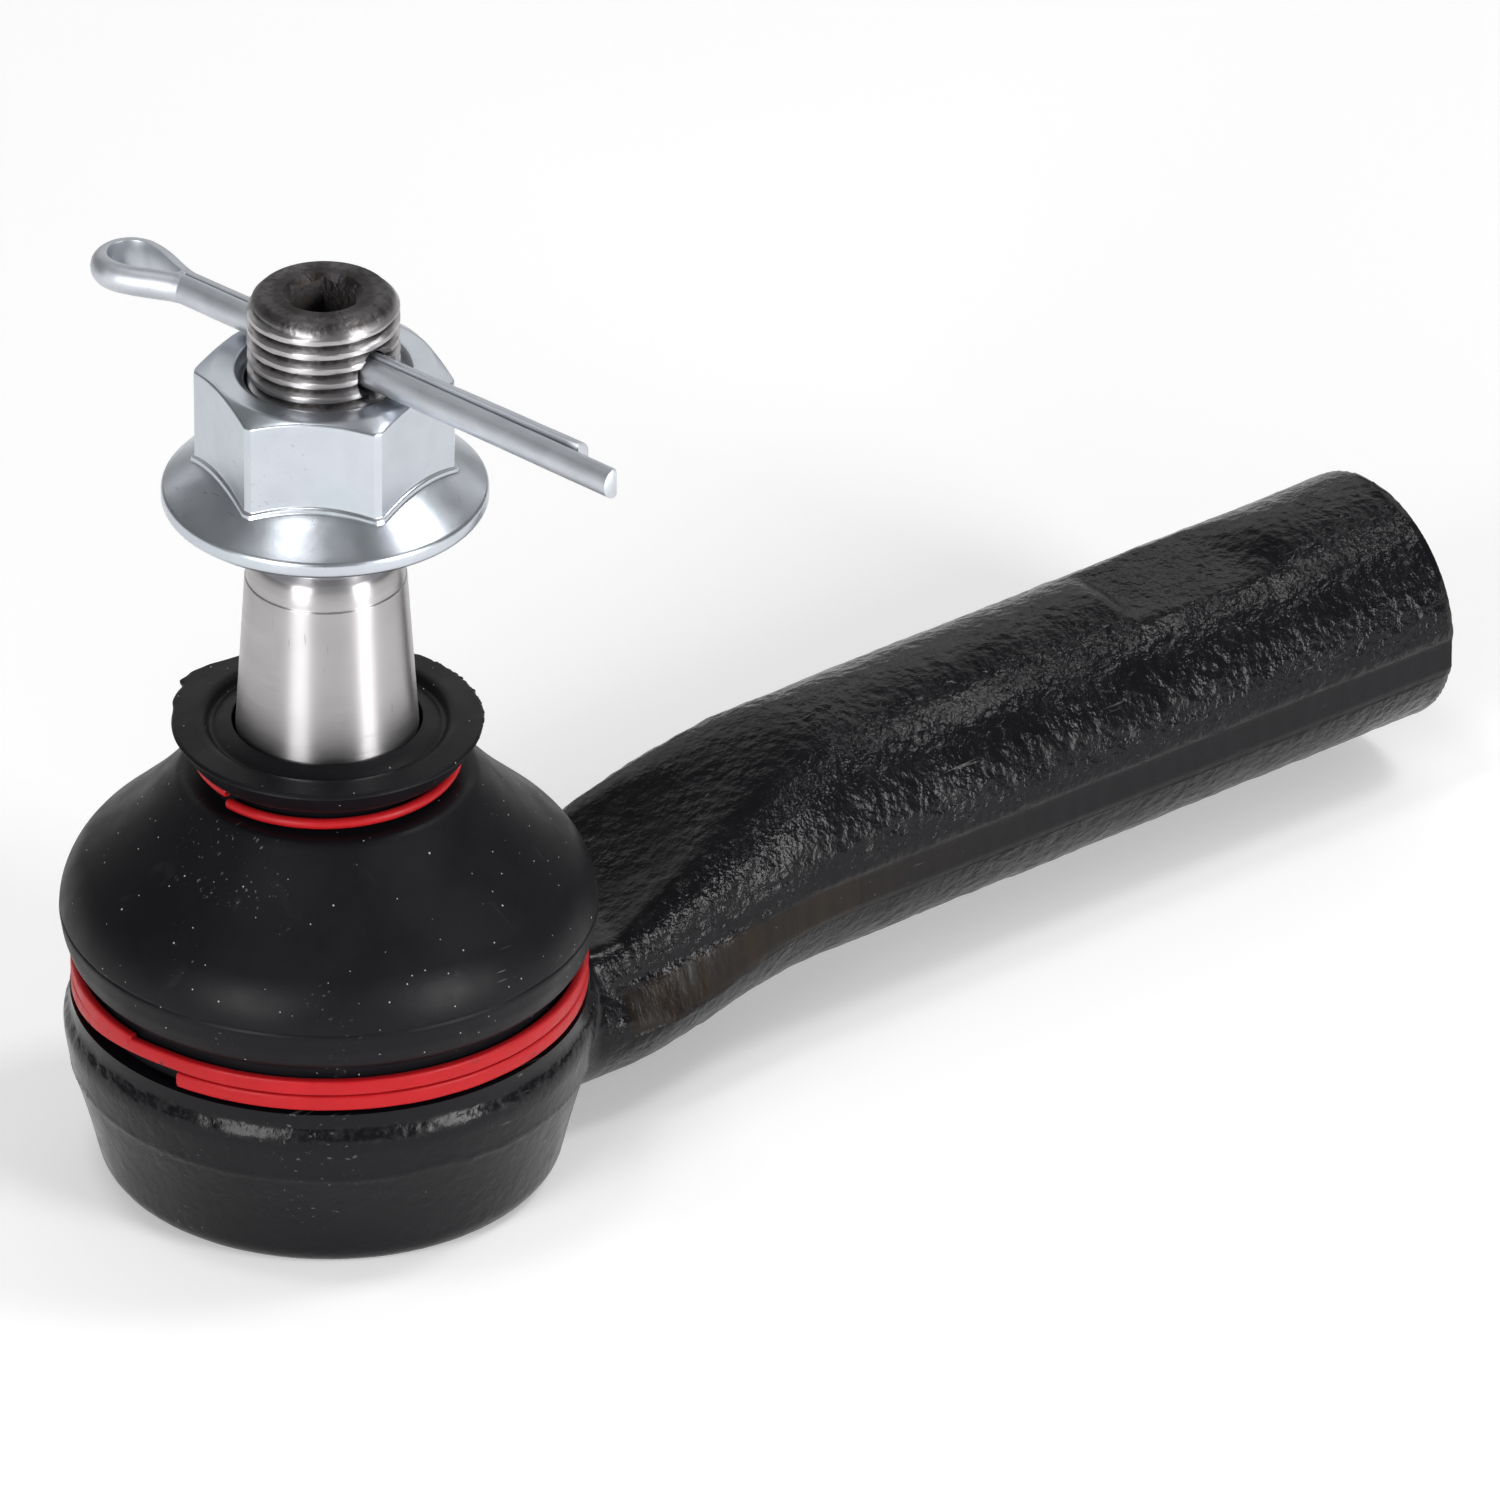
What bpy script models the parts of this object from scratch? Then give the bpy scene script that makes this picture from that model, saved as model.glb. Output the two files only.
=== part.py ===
"""Outer tie rod end of a car's steering, built as the assembly of its real pieces.

Frame: the stud's axis is +Z and the shank runs along +X. The origin is on the stud's axis, in the
flat underside of the socket. Units are metres; the driving dimensions are written in millimetres.
"""
import math

import bmesh
import bpy
from mathutils import Matrix, Vector

MM = 0.001
GAP = 0.3                    # clearance between pieces that touch on the real object
MERGE = 1e-5                 # merge distance of every modifier, in metres
ROUND_STEPS = 40             # facets round a turned piece

# ball joint
BALL_RADIUS = 12.5
BALL_HEIGHT = 16.0           # ball centre above the underside; both tilt axes and the stud meet here
BALL_FLAT = -10.3            # the ball's flat underside, measured from its centre
SEAT_RADIUS = 14.4           # outside of the plastic seat's spherical part
SEAT_GAP = 0.15              # between the ball and its seats, which touch on the real object
SEAT_SKIRT_RADIUS = 14.8     # outside of both seats below the ball's centre
SEAT_SPLIT = 11.6            # height where the upper and the lower seat face each other
CAVITY_RADIUS = 15.2         # straight part of the socket's bore
CAVITY_BOTTOM = 2.9          # where the bore steps out to hold the cover
COVER_RECESS_RADIUS = 19.6
COVER_LIP_RADIUS = 17.0      # edge of the lip rolled in under the cover
COVER_LIP = 0.7              # thickness of that lip
COVER_TOP = 2.6
OPENING_HEIGHT = 22.6        # top face of the socket
LOWER_SEAT_HOLE_HEIGHT = 6.9
SPRING_HOLE_RADIUS = 7.6
SPRING_RADIUS = 14.4
SPRING_TOP = 5.1             # at its hole; its rim rests on the cover
SPRING_BOTTOM = 3.0
SPRING_THICKNESS = 0.9

# stud
NECK_RADIUS = 6.6
BOOT_SEAT_RADIUS = 7.6
TAPER_BOTTOM = (8.45, 45.6)  # radius and height of the big end of the taper
TAPER_TOP = (7.51, 60.6)     # and of the small end: 1 in 8 on the diameter
SHOULDER_TOP = 64.2          # end of the rounded shoulder above the taper
THREAD_RADIUS = 7.0          # M14 x 1.5
UNDERCUT_RADIUS = 6.1
THREAD_BOTTOM = 66.6
STUD_TOP = 90.9
STUD_CHAMFER = 1.0
KEY_FLATS = 6.0              # hexagon key socket in the stud's end
KEY_DEPTH = 7.0
KEY_TURN = 22.0              # degrees its corners are turned from the Y axis
PIN_HOLE_RADIUS = 2.0
PIN_HEIGHT = 84.9

# nut
NUT_BOTTOM = 69.3
NUT_TOP = 83.1
NUT_FLATS = 21.0
NUT_TURN = -13.0             # degrees its corners are turned from the Y axis
NUT_BORE_RADIUS = THREAD_RADIUS + GAP
FLANGE_RADIUS = 15.0
FLANGE_RIM = 1.9
NUT_CHAMFER = 28.0           # slope of its upper corners' chamfer, in degrees
NUT_BORE_CHAMFER = 0.9

# cotter pin: half-round wire folded round an eye, its legs side by side
PIN_ANGLE = -80.0            # direction of the leg ends, seen from above, in degrees from +X
PIN_RADIUS = 1.55
PIN_SPLIT = 0.08             # half of the slit between the legs
PIN_LONG_LEG = 36.2          # from the stud's axis to each leg's end
PIN_SHORT_LEG = 31.0
PIN_EYE_END = 27.5           # from the stud's axis to the far side of the eye
PIN_EYE_RADIUS = 2.2         # to the inner face of the wire
PIN_EYE_NECK = 16.5          # where the legs start to part, from the stud's axis
PIN_EYE_LEAN = 0.35          # how far the eye lies to the longer leg's side

# shank
SHANK_END = 124.3
SHANK_AXIS_HEIGHT = 15.0
SHANK_RADIUS = 12.2
NECK_DROP = 2.6              # how far the neck's centre lies below the shank's axis
NECK_START = 26.0
NECK_END = 52.0
NECK_WAIST = 0.8             # how much narrower the neck's upper half is, each side
UNDERSIDE_FLARE = 2.4        # how much wider its lower half is, each side
TRIM_HALF_WIDTH = 12.0       # the vertical faces left where the forging's flash was sheared off
TRIM_TOP = 0.7               # above and below the shank's axis
TRIM_BOTTOM = -3.3
PAD_START = 90.0             # flat pad on top of the shank
PAD_END = 111.0
PAD_HEIGHT = 10.95           # above the shank's axis
RELIEF_HEIGHT = 17.2         # level part of the relief under the boot's edge
RELIEF_RADIUS = 28.0         # where it starts to rise, from the stud's axis
RELIEF_SLOPE = 0.4
LOFT_START = 13.0            # the shank starts inside the socket
LOFT_STEP = 3.0              # between its first sections
LOFT_STEPS = 16
PAD_RAMP = 0.01              # length of the steps at the pad's two ends
BORE_RADIUS = 7.3            # M16 x 1.5 thread's minor radius
BORE_DEPTH = 58.0
BORE_MOUTH_RADIUS = 8.4
DRILL_TIP = 4.0              # depth of the cone at the bore's end
SECTION_POINTS = 40

# boot
BOOT_WIDEST = 24.85
BELLY_CENTRE = 17.6          # centre of the arc that rounds the belly, from the stud's axis
BELLY_HEIGHT = 26.4
BOOT_WALL = 1.8
UPPER_RING_RADIUS = 11.9     # middle of the wire
UPPER_RING_HEIGHT = 41.8
UPPER_WIRE_RADIUS = 0.5
UPPER_RING_START = -176.0    # direction of its lower end, in degrees from +X
UPPER_RING_PITCH = 1.06
LOWER_RING_RADIUS = 23.45
LOWER_RING_BOTTOM = 18.35
LOWER_WIRE_WIDTH = 0.9
LOWER_WIRE_HEIGHT = 1.5
LOWER_WIRE_ROUNDING = 0.2
LOWER_RING_PITCH = 1.62      # from one turn to the next
LOWER_RING_TURNS = 1.96
LOWER_RING_START = -163.0    # direction of its lower end, in degrees from +X
LOWER_RING_CLIMB = 50.0      # degrees over which the first turn climbs onto the second

PARTS = "tie_rod_end"
CUTTERS = "cutters"


# ---------------------------------------------------------------- scene and materials

def clear_scene():
    for obj in list(bpy.data.objects):
        bpy.data.objects.remove(obj, do_unlink=True)
    for coll in list(bpy.data.collections):
        bpy.data.collections.remove(coll)


def collection(name):
    if name not in bpy.data.collections:
        bpy.context.scene.collection.children.link(bpy.data.collections.new(name))
    return bpy.data.collections[name]


def material(name, colour, roughness, metallic):
    mat = bpy.data.materials.get(name) or bpy.data.materials.new(name)
    mat.use_nodes = True
    mat.diffuse_color = (*colour, 1.0)
    shader = mat.node_tree.nodes["Principled BSDF"]
    shader.inputs["Base Color"].default_value = (*colour, 1.0)
    shader.inputs["Roughness"].default_value = roughness
    shader.inputs["Metallic"].default_value = metallic
    return mat


def black_paint():
    return material("black_paint", (0.012, 0.012, 0.013), 0.35, 0.0)


def machined_steel():
    return material("machined_steel", (0.56, 0.55, 0.54), 0.28, 1.0)


def zinc_plate():
    return material("zinc_plate", (0.62, 0.66, 0.68), 0.3, 1.0)


def dull_zinc():
    return material("dull_zinc", (0.55, 0.57, 0.58), 0.42, 1.0)


def black_rubber():
    return material("black_rubber", (0.018, 0.018, 0.02), 0.55, 0.0)


def red_wire():
    return material("red_wire", (0.6, 0.02, 0.03), 0.4, 0.0)


def seat_plastic():
    return material("seat_plastic", (0.75, 0.72, 0.62), 0.5, 0.0)


def spring_steel():
    return material("spring_steel", (0.25, 0.25, 0.27), 0.4, 1.0)


# ---------------------------------------------------------------- building blocks

def link(name, data, mat, where=PARTS):
    obj = bpy.data.objects.new(name, data)
    collection(where).objects.link(obj)
    if where == CUTTERS:
        obj.hide_render = True
        obj.display_type = "WIRE"
    if mat:
        data.materials.append(mat)
    return obj


def arc(centre, radius, start, end, count):
    """Points on an arc about a (radius, height) centre; angles in degrees from the outward direction."""
    angles = [math.radians(start + (end - start) * i / (count - 1)) for i in range(count)]
    return [(centre[0] + radius * math.cos(a), centre[1] + radius * math.sin(a)) for a in angles]


def turned(name, profile, mat, where=PARTS, steps=ROUND_STEPS, closed=False):
    """A turned solid: the (radius, height) profile in mm runs down the outer side, from top to bottom."""
    mesh = bpy.data.meshes.new(name)
    points = [(r * MM, 0.0, z * MM) for r, z in profile]
    edges = [(i, i + 1) for i in range(len(points) - 1)]
    if closed:
        edges.append((len(points) - 1, 0))
    mesh.from_pydata(points, edges, [])
    obj = link(name, mesh, mat, where)
    screw = obj.modifiers.new("turn", "SCREW")
    screw.axis = "Z"
    screw.steps = steps
    screw.render_steps = steps
    screw.use_merge_vertices = True
    screw.merge_threshold = MERGE
    screw.use_smooth_shade = True
    return obj


def cut(obj, cutter, operation="DIFFERENCE"):
    """Cuts one object with another, which then moves with it."""
    boolean = obj.modifiers.new(cutter.name, "BOOLEAN")
    boolean.operation = operation
    boolean.solver = "EXACT"
    boolean.object = cutter
    follow(obj, cutter)


def follow(parent, *pieces):
    """Parents pieces to an object, and leaves them where they are."""
    place = Matrix.LocRotScale(parent.location, None, None)
    for piece in pieces:
        piece.parent = parent
        piece.matrix_parent_inverse = place.inverted()


def smooth_step(value):
    value = min(max(value, 0.0), 1.0)
    return value * value * (3.0 - 2.0 * value)


def helix(radius, bottom, pitch, turns, start, per_turn):
    """Points in metres along a helix about the stud's axis; start is in degrees."""
    count = int(turns * per_turn) + 1
    points = []
    for i in range(count):
        turn = turns * i / (count - 1)
        angle = math.radians(start) + turn * math.tau
        place = Vector((radius * math.cos(angle), radius * math.sin(angle), bottom + pitch * turn))
        points.append(place * MM)
    return points


def wire(name, points, mat, depth=0.0, section=None, resolution=2):
    """A wire along a list of points in metres: round with a bevel depth, or with a section curve."""
    curve = bpy.data.curves.new(name, "CURVE")
    curve.dimensions = "3D"
    curve.twist_mode = "Z_UP"
    curve.use_fill_caps = True
    if section:
        curve.bevel_mode = "OBJECT"
        curve.bevel_object = section
    else:
        curve.bevel_depth = depth
        curve.bevel_resolution = resolution
    spline = curve.splines.new("POLY")
    spline.points.add(len(points) - 1)
    for knot, point in zip(spline.points, points):
        knot.co = (*point, 1.0)
    return link(name, curve, mat)


def section_curve(name, points):
    """A closed outline in mm that a wire is swept with; it is a guide, not a piece."""
    curve = bpy.data.curves.new(name, "CURVE")
    curve.dimensions = "2D"
    spline = curve.splines.new("POLY")
    spline.points.add(len(points) - 1)
    spline.use_cyclic_u = True
    for knot, (x, y) in zip(spline.points, points):
        knot.co = (x * MM, y * MM, 0.0, 1.0)
    return link(name, curve, None, CUTTERS)


def prism(name, flats, bottom, top, mat, where=CUTTERS):
    """A hexagonal prism about the stud's axis, two of its corners on the Y axis."""
    mesh = bpy.data.meshes.new(name)
    bm = bmesh.new()
    corner = flats / math.sqrt(3.0) * MM
    bmesh.ops.create_cone(bm, cap_ends=True, segments=6, radius1=corner, radius2=corner,
                          depth=(top - bottom) * MM)
    bm.to_mesh(mesh)
    bm.free()
    obj = link(name, mesh, mat, where)
    obj.location.z = (top + bottom) / 2 * MM
    return obj


def rod(name, radius, depth, location, direction, where=CUTTERS, segments=32):
    """A plain cylinder, its middle at a place in mm and its axis along a direction."""
    mesh = bpy.data.meshes.new(name)
    bm = bmesh.new()
    bmesh.ops.create_cone(bm, cap_ends=True, segments=segments, radius1=radius * MM, radius2=radius * MM,
                          depth=depth * MM)
    bm.to_mesh(mesh)
    bm.free()
    obj = link(name, mesh, None, where)
    obj.location = Vector(location) * MM
    obj.rotation_mode = "QUATERNION"
    obj.rotation_quaternion = Vector((0, 0, 1)).rotation_difference(Vector(direction))
    return obj


# ---------------------------------------------------------------- socket and shank

def relief_height(distance):
    """Height of the dished relief round the boot, at a distance from the stud's axis."""
    return RELIEF_HEIGHT + RELIEF_SLOPE * max(distance - RELIEF_RADIUS, 0.0)


def shank_section(x):
    """The shank's outline at a station x, as (y, z) points in mm, run round from the top."""
    neck = 1.0 - smooth_step((x - NECK_START) / (NECK_END - NECK_START))
    axis = SHANK_AXIS_HEIGHT - NECK_DROP * neck
    flare = 1.0 - smooth_step((x - NECK_START) / (NECK_END - NECK_START - 4.0))
    points = []
    for i in range(SECTION_POINTS):
        angle = math.tau * i / SECTION_POINTS
        z = SHANK_RADIUS * math.cos(angle)
        waist = SHANK_RADIUS + (UNDERSIDE_FLARE * flare if z < TRIM_BOTTOM else -NECK_WAIST * neck)
        y = waist * math.sin(angle)
        if TRIM_BOTTOM <= z <= TRIM_TOP:
            y = math.copysign(TRIM_HALF_WIDTH, y)
        if PAD_START <= x <= PAD_END:
            z = min(z, PAD_HEIGHT)
        height = min(axis + z, relief_height(math.hypot(x, y)))
        points.append((y, height))
    return points


def shank_loft():
    """The forged shank: sections of unlike shape, joined by quads and capped."""
    stations = [LOFT_START + LOFT_STEP * i for i in range(LOFT_STEPS)]
    stations += [PAD_START - PAD_RAMP, PAD_START, PAD_END, PAD_END + PAD_RAMP, SHANK_END]
    mesh = bpy.data.meshes.new("shank_loft")
    bm = bmesh.new()
    rings = []
    for x in stations:
        rings.append([bm.verts.new((x * MM, y * MM, z * MM)) for y, z in shank_section(x)])
    for near, far in zip(rings, rings[1:]):
        for i in range(SECTION_POINTS):
            j = (i + 1) % SECTION_POINTS
            bm.faces.new((near[i], near[j], far[j], far[i]))
    bm.faces.new(rings[0])
    bm.faces.new(rings[-1])
    bmesh.ops.recalc_face_normals(bm, faces=bm.faces)
    bm.to_mesh(mesh)
    bm.free()
    return link("shank_loft", mesh, None, CUTTERS)


def socket_housing():
    outside = [(0.0, OPENING_HEIGHT), (20.7, OPENING_HEIGHT), (21.4, 21.9), (21.4, 21.2), (20.6, 20.8),
               (20.6, 18.0), (23.6, 18.0), (24.0, 17.6), (24.0, 16.5), (24.5, 15.7), (24.65, 14.6),
               (24.1, 11.2), (22.9, 7.2), (22.1, 4.0), (21.5, 1.5), (20.8, 0.5), (19.6, 0.0), (0.0, 0.0)]
    housing = turned("socket_housing", outside, black_paint())
    cut(housing, shank_loft(), "UNION")
    opening = math.degrees(math.asin((OPENING_HEIGHT - BALL_HEIGHT) / (SEAT_RADIUS + GAP)))
    mouth = (SEAT_RADIUS + GAP) * math.cos(math.radians(opening))
    cavity = [(0.0, OPENING_HEIGHT + 1.0), (mouth, OPENING_HEIGHT + 1.0)]
    cavity += arc((0.0, BALL_HEIGHT), SEAT_RADIUS + GAP, opening, 0.0, 6)
    cavity += [(CAVITY_RADIUS, BALL_HEIGHT - 0.6), (CAVITY_RADIUS, CAVITY_BOTTOM),
               (COVER_RECESS_RADIUS, CAVITY_BOTTOM), (COVER_RECESS_RADIUS, COVER_LIP),
               (COVER_LIP_RADIUS, COVER_LIP), (COVER_LIP_RADIUS, -1.0), (0.0, -1.0)]
    cut(housing, turned("cavity", cavity, None, CUTTERS))
    countersink = BORE_MOUTH_RADIUS - BORE_RADIUS
    bore = turned("bore", [(0.0, 1.0), (BORE_MOUTH_RADIUS + 1.0, 1.0), (BORE_RADIUS, -countersink),
                           (BORE_RADIUS, -BORE_DEPTH), (0.0, -BORE_DEPTH - DRILL_TIP)], None, CUTTERS, 32)
    bore.location = Vector((SHANK_END, 0, SHANK_AXIS_HEIGHT)) * MM
    bore.rotation_euler.y = math.radians(90)
    cut(housing, bore)


def end_cover():
    """A disc held by the socket's rolled lip, its middle pressed down level with the lip."""
    rim = COVER_RECESS_RADIUS - GAP
    profile = [(0.0, COVER_TOP), (rim, COVER_TOP), (rim, COVER_LIP + GAP),
               (COVER_LIP_RADIUS - 0.1, COVER_LIP + GAP), (COVER_LIP_RADIUS - 0.6, 0.6),
               (COVER_LIP_RADIUS - 1.0, 0.0), (0.0, 0.0)]
    turned("end_cover", profile, dull_zinc())


def preload_spring():
    """A coned disc spring between the cover and the lower seat."""
    profile = [(SPRING_HOLE_RADIUS, SPRING_TOP), (SPRING_RADIUS, SPRING_BOTTOM + SPRING_THICKNESS),
               (SPRING_RADIUS, SPRING_BOTTOM), (SPRING_HOLE_RADIUS, SPRING_TOP - SPRING_THICKNESS)]
    turned("preload_spring", profile, spring_steel(), closed=True)


def ball_latitude(height, radius):
    """The angle at which a sphere about the ball's centre reaches a height, in degrees."""
    return math.degrees(math.asin((height - BALL_HEIGHT) / radius))


def lower_ball_seat():
    """A cup under the ball, open in the middle, its underside coned to clear the spring."""
    radius = BALL_RADIUS + SEAT_GAP
    top = SEAT_SPLIT - GAP / 2
    hole = ball_latitude(LOWER_SEAT_HOLE_HEIGHT, radius)
    profile = arc((0.0, BALL_HEIGHT), radius, hole, ball_latitude(top, radius), 5)
    profile += [(SEAT_SKIRT_RADIUS, top), (SEAT_SKIRT_RADIUS, SPRING_BOTTOM + SPRING_THICKNESS + GAP + 0.2),
                (SPRING_HOLE_RADIUS + 0.1, SPRING_TOP + GAP + 0.2)]
    turned("lower_ball_seat", profile, seat_plastic(), closed=True)


def upper_ball_seat():
    """A spherical shell round the ball's upper half, with a short straight skirt."""
    inner = BALL_RADIUS + SEAT_GAP
    top = OPENING_HEIGHT - 0.6
    skirt = SEAT_SPLIT + GAP / 2
    centre = (0.0, BALL_HEIGHT)
    profile = arc(centre, inner, ball_latitude(skirt, inner), ball_latitude(top, inner), 8)
    profile += arc(centre, SEAT_RADIUS, ball_latitude(top, SEAT_RADIUS), 0.0, 6)
    profile += [(SEAT_SKIRT_RADIUS, BALL_HEIGHT - 1.0), (SEAT_SKIRT_RADIUS, skirt)]
    turned("upper_ball_seat", profile, seat_plastic(), closed=True)


# ---------------------------------------------------------------- stud, nut and cotter pin

def pin_direction():
    angle = math.radians(PIN_ANGLE)
    return Vector((math.cos(angle), math.sin(angle), 0.0))


def ball_stud():
    neck_meets_ball = math.degrees(math.acos(NECK_RADIUS / BALL_RADIUS))
    flat = math.degrees(math.asin(BALL_FLAT / BALL_RADIUS))
    undercut_depth = THREAD_RADIUS - UNDERCUT_RADIUS
    profile = [(0.0, STUD_TOP), (THREAD_RADIUS - STUD_CHAMFER, STUD_TOP),
               (THREAD_RADIUS, STUD_TOP - STUD_CHAMFER), (THREAD_RADIUS, THREAD_BOTTOM),
               (UNDERCUT_RADIUS, THREAD_BOTTOM - undercut_depth), (UNDERCUT_RADIUS, SHOULDER_TOP + 0.2),
               (6.6, SHOULDER_TOP), (7.0, SHOULDER_TOP - 0.4), (7.3, SHOULDER_TOP - 1.7), (7.4, 61.4),
               TAPER_TOP, TAPER_BOTTOM, (8.3, 45.2), (BOOT_SEAT_RADIUS, 44.4),
               (BOOT_SEAT_RADIUS, 39.5), (6.9, 35.5), (NECK_RADIUS, 32.5), (NECK_RADIUS, 28.2)]
    profile += arc((0.0, BALL_HEIGHT), BALL_RADIUS, neck_meets_ball - 3.0, flat, 13)
    profile += [(0.0, BALL_HEIGHT + BALL_FLAT)]
    stud = turned("ball_stud", profile, machined_steel())
    key = prism("key_socket", KEY_FLATS, STUD_TOP - KEY_DEPTH, STUD_TOP + 1.0, None)
    key.rotation_euler.z = math.radians(KEY_TURN)
    cut(stud, key)
    cut(stud, rod("pin_hole", PIN_HOLE_RADIUS, 20.0, (0, 0, PIN_HEIGHT), pin_direction(), segments=24))
    return stud


def flange_nut():
    corner = NUT_FLATS / math.sqrt(3.0)
    chamfer = math.tan(math.radians(NUT_CHAMFER))
    flats = NUT_FLATS / 2
    hexagon = prism("nut_hexagon", NUT_FLATS, NUT_BOTTOM + 1.0, NUT_TOP, None)
    hexagon.rotation_euler.z = math.radians(NUT_TURN)
    inside = flats - 0.3
    reach = corner + 1.0
    cone = [(0.0, NUT_TOP + 1.0), (inside, NUT_TOP + 1.0), (inside, NUT_TOP),
            (reach, NUT_TOP - (reach - inside) * chamfer), (reach, NUT_BOTTOM), (0.0, NUT_BOTTOM)]
    envelope = turned("nut_envelope", cone, None, CUTTERS)
    cut(hexagon, envelope, "INTERSECT")
    rim = NUT_BOTTOM + FLANGE_RIM
    profile = [(0.0, 74.4), (10.4, 74.4), (11.0, 74.0), (12.7, 72.75), (FLANGE_RADIUS - 0.3, rim + 0.2),
               (FLANGE_RADIUS, rim - 0.2), (FLANGE_RADIUS, NUT_BOTTOM + 0.3),
               (FLANGE_RADIUS - 0.3, NUT_BOTTOM), (0.0, NUT_BOTTOM)]
    nut = turned("flange_nut", profile, zinc_plate(), steps=64)
    cut(nut, hexagon, "UNION")
    mouth = NUT_BORE_RADIUS + NUT_BORE_CHAMFER + 1.0
    hole = [(0.0, NUT_TOP + 1.0), (mouth, NUT_TOP + 1.0), (NUT_BORE_RADIUS, NUT_TOP - NUT_BORE_CHAMFER),
            (NUT_BORE_RADIUS, NUT_BOTTOM + NUT_BORE_CHAMFER), (mouth, NUT_BOTTOM - 1.0), (0.0, NUT_BOTTOM - 1.0)]
    bore = turned("nut_bore", hole, None, CUTTERS)
    cut(nut, bore)
    return nut


def pin_path():
    """The wire's flat face, in mm along and across the pin: up one leg, round the eye, down the other."""
    centre = PIN_EYE_RADIUS + PIN_RADIUS - PIN_EYE_END
    points = [(PIN_LONG_LEG, -PIN_SPLIT), (0.0, -PIN_SPLIT)]
    points += [(a, c) for a, c in reversed(eye_side(centre, -1))]
    for i in range(1, 12):
        angle = math.radians(270.0 - 180.0 * i / 12)
        along = centre + PIN_EYE_RADIUS * math.cos(angle)
        points.append((along, PIN_EYE_RADIUS * math.sin(angle) - PIN_EYE_LEAN))
    points += eye_side(centre, 1)
    return points + [(0.0, PIN_SPLIT), (PIN_SHORT_LEG, PIN_SPLIT)]


def eye_side(centre, side):
    """One side of the eye, from its widest point to where the legs meet."""
    widest = side * PIN_EYE_RADIUS - PIN_EYE_LEAN
    closed = side * PIN_SPLIT
    steps = 8
    points = []
    for i in range(steps + 1):
        t = i / steps
        points.append((centre - (PIN_EYE_NECK + centre) * t, widest + (closed - widest) * smooth_step(t)))
    return points


def cotter_pin():
    along = pin_direction()
    across = Vector((-along.y, along.x, 0.0))
    points = []
    for a, c in pin_path():
        points.append((along * a + across * c) * MM)
    outline = [(-PIN_RADIUS * math.sin(math.radians(t)), -PIN_RADIUS * math.cos(math.radians(t)))
               for t in range(0, 181, 20)]
    pin = wire("cotter_pin", points, dull_zinc(), section=section_curve("half_round", outline))
    pin.location.z = PIN_HEIGHT * MM
    return pin


# ---------------------------------------------------------------- boot and its rings

def dust_boot():
    """Rubber boot: collar round the stud, cone, rounded belly, and a foot in the socket's groove."""
    shift = BOOT_WALL / math.sqrt(2.0)
    centre = (BELLY_CENTRE, BELLY_HEIGHT)
    belly = arc(centre, BOOT_WIDEST - BELLY_CENTRE, 48.0, 0.0, 6)
    inner_belly = arc(centre, BOOT_WIDEST - BELLY_CENTRE - BOOT_WALL, 0.0, 48.0, 5)
    outside = [(8.75, 46.3), (9.9, 45.9), (10.7, 45.5), (11.3, 46.1), (11.6, 46.3), (14.1, 46.0),
               (14.3, 45.7), (12.9, 43.6), (12.5, 43.4), (11.1, 43.4), (11.1, 40.9), (13.2, 40.9),
               (13.8, 40.6), (18.0, 35.9)]
    foot = [(24.6, 24.8), (24.1, 23.3), (23.4, 22.6), (22.7, 22.4), (22.7, 18.3), (20.9, 18.3), (20.9, 20.6),
            (21.7, 21.2), (21.7, 22.4), (22.6, 24.2)]
    inside = [(18.0 - shift, 35.9 - shift), (13.8 - shift, 40.6 - shift), (9.2, 39.8), (7.9, 40.4),
              (7.9, 44.1), (8.75, 45.0)]
    return turned("dust_boot", outside + belly + foot + inner_belly + inside, black_rubber(), closed=True)


def boot_upper_ring():
    points = helix(UPPER_RING_RADIUS, UPPER_RING_HEIGHT - 0.1, UPPER_RING_PITCH, 1.0, UPPER_RING_START, 40)
    return wire("boot_upper_ring", points, red_wire(), depth=UPPER_WIRE_RADIUS * MM)


def boot_lower_ring():
    half_w = LOWER_WIRE_WIDTH / 2
    half_h = LOWER_WIRE_HEIGHT / 2
    outline = []
    for sx, sy in ((1, 1), (1, -1), (-1, -1), (-1, 1)):
        side = (sx * half_w, sy * (half_h - LOWER_WIRE_ROUNDING))
        flat = (sx * (half_w - LOWER_WIRE_ROUNDING), sy * half_h)
        outline += [flat, side] if sx * sy > 0 else [side, flat]
    points = []
    count = 36 * 2
    for i in range(count + 1):
        turned_by = 360.0 * LOWER_RING_TURNS * i / count
        climb = smooth_step((turned_by - 360.0 + LOWER_RING_CLIMB) / LOWER_RING_CLIMB)
        angle = math.radians(LOWER_RING_START + turned_by)
        height = LOWER_RING_BOTTOM + half_h + LOWER_RING_PITCH * climb
        place = Vector((LOWER_RING_RADIUS * math.cos(angle), LOWER_RING_RADIUS * math.sin(angle), height))
        points.append(place * MM)
    wire("boot_lower_ring", points, red_wire(), section=section_curve("flat_wire", outline))


def ball_centre():
    """An empty where the stud's two tilts and its spin meet."""
    pivot = bpy.data.objects.new("ball_centre", None)
    pivot.location.z = BALL_HEIGHT * MM
    collection(PARTS).objects.link(pivot)
    return pivot


def build():
    clear_scene()
    socket_housing()
    upper_ball_seat()
    lower_ball_seat()
    preload_spring()
    end_cover()
    boot_lower_ring()
    stud = ball_stud()
    follow(ball_centre(), dust_boot(), boot_upper_ring(), stud)
    follow(stud, flange_nut(), cotter_pin())


build()
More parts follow.
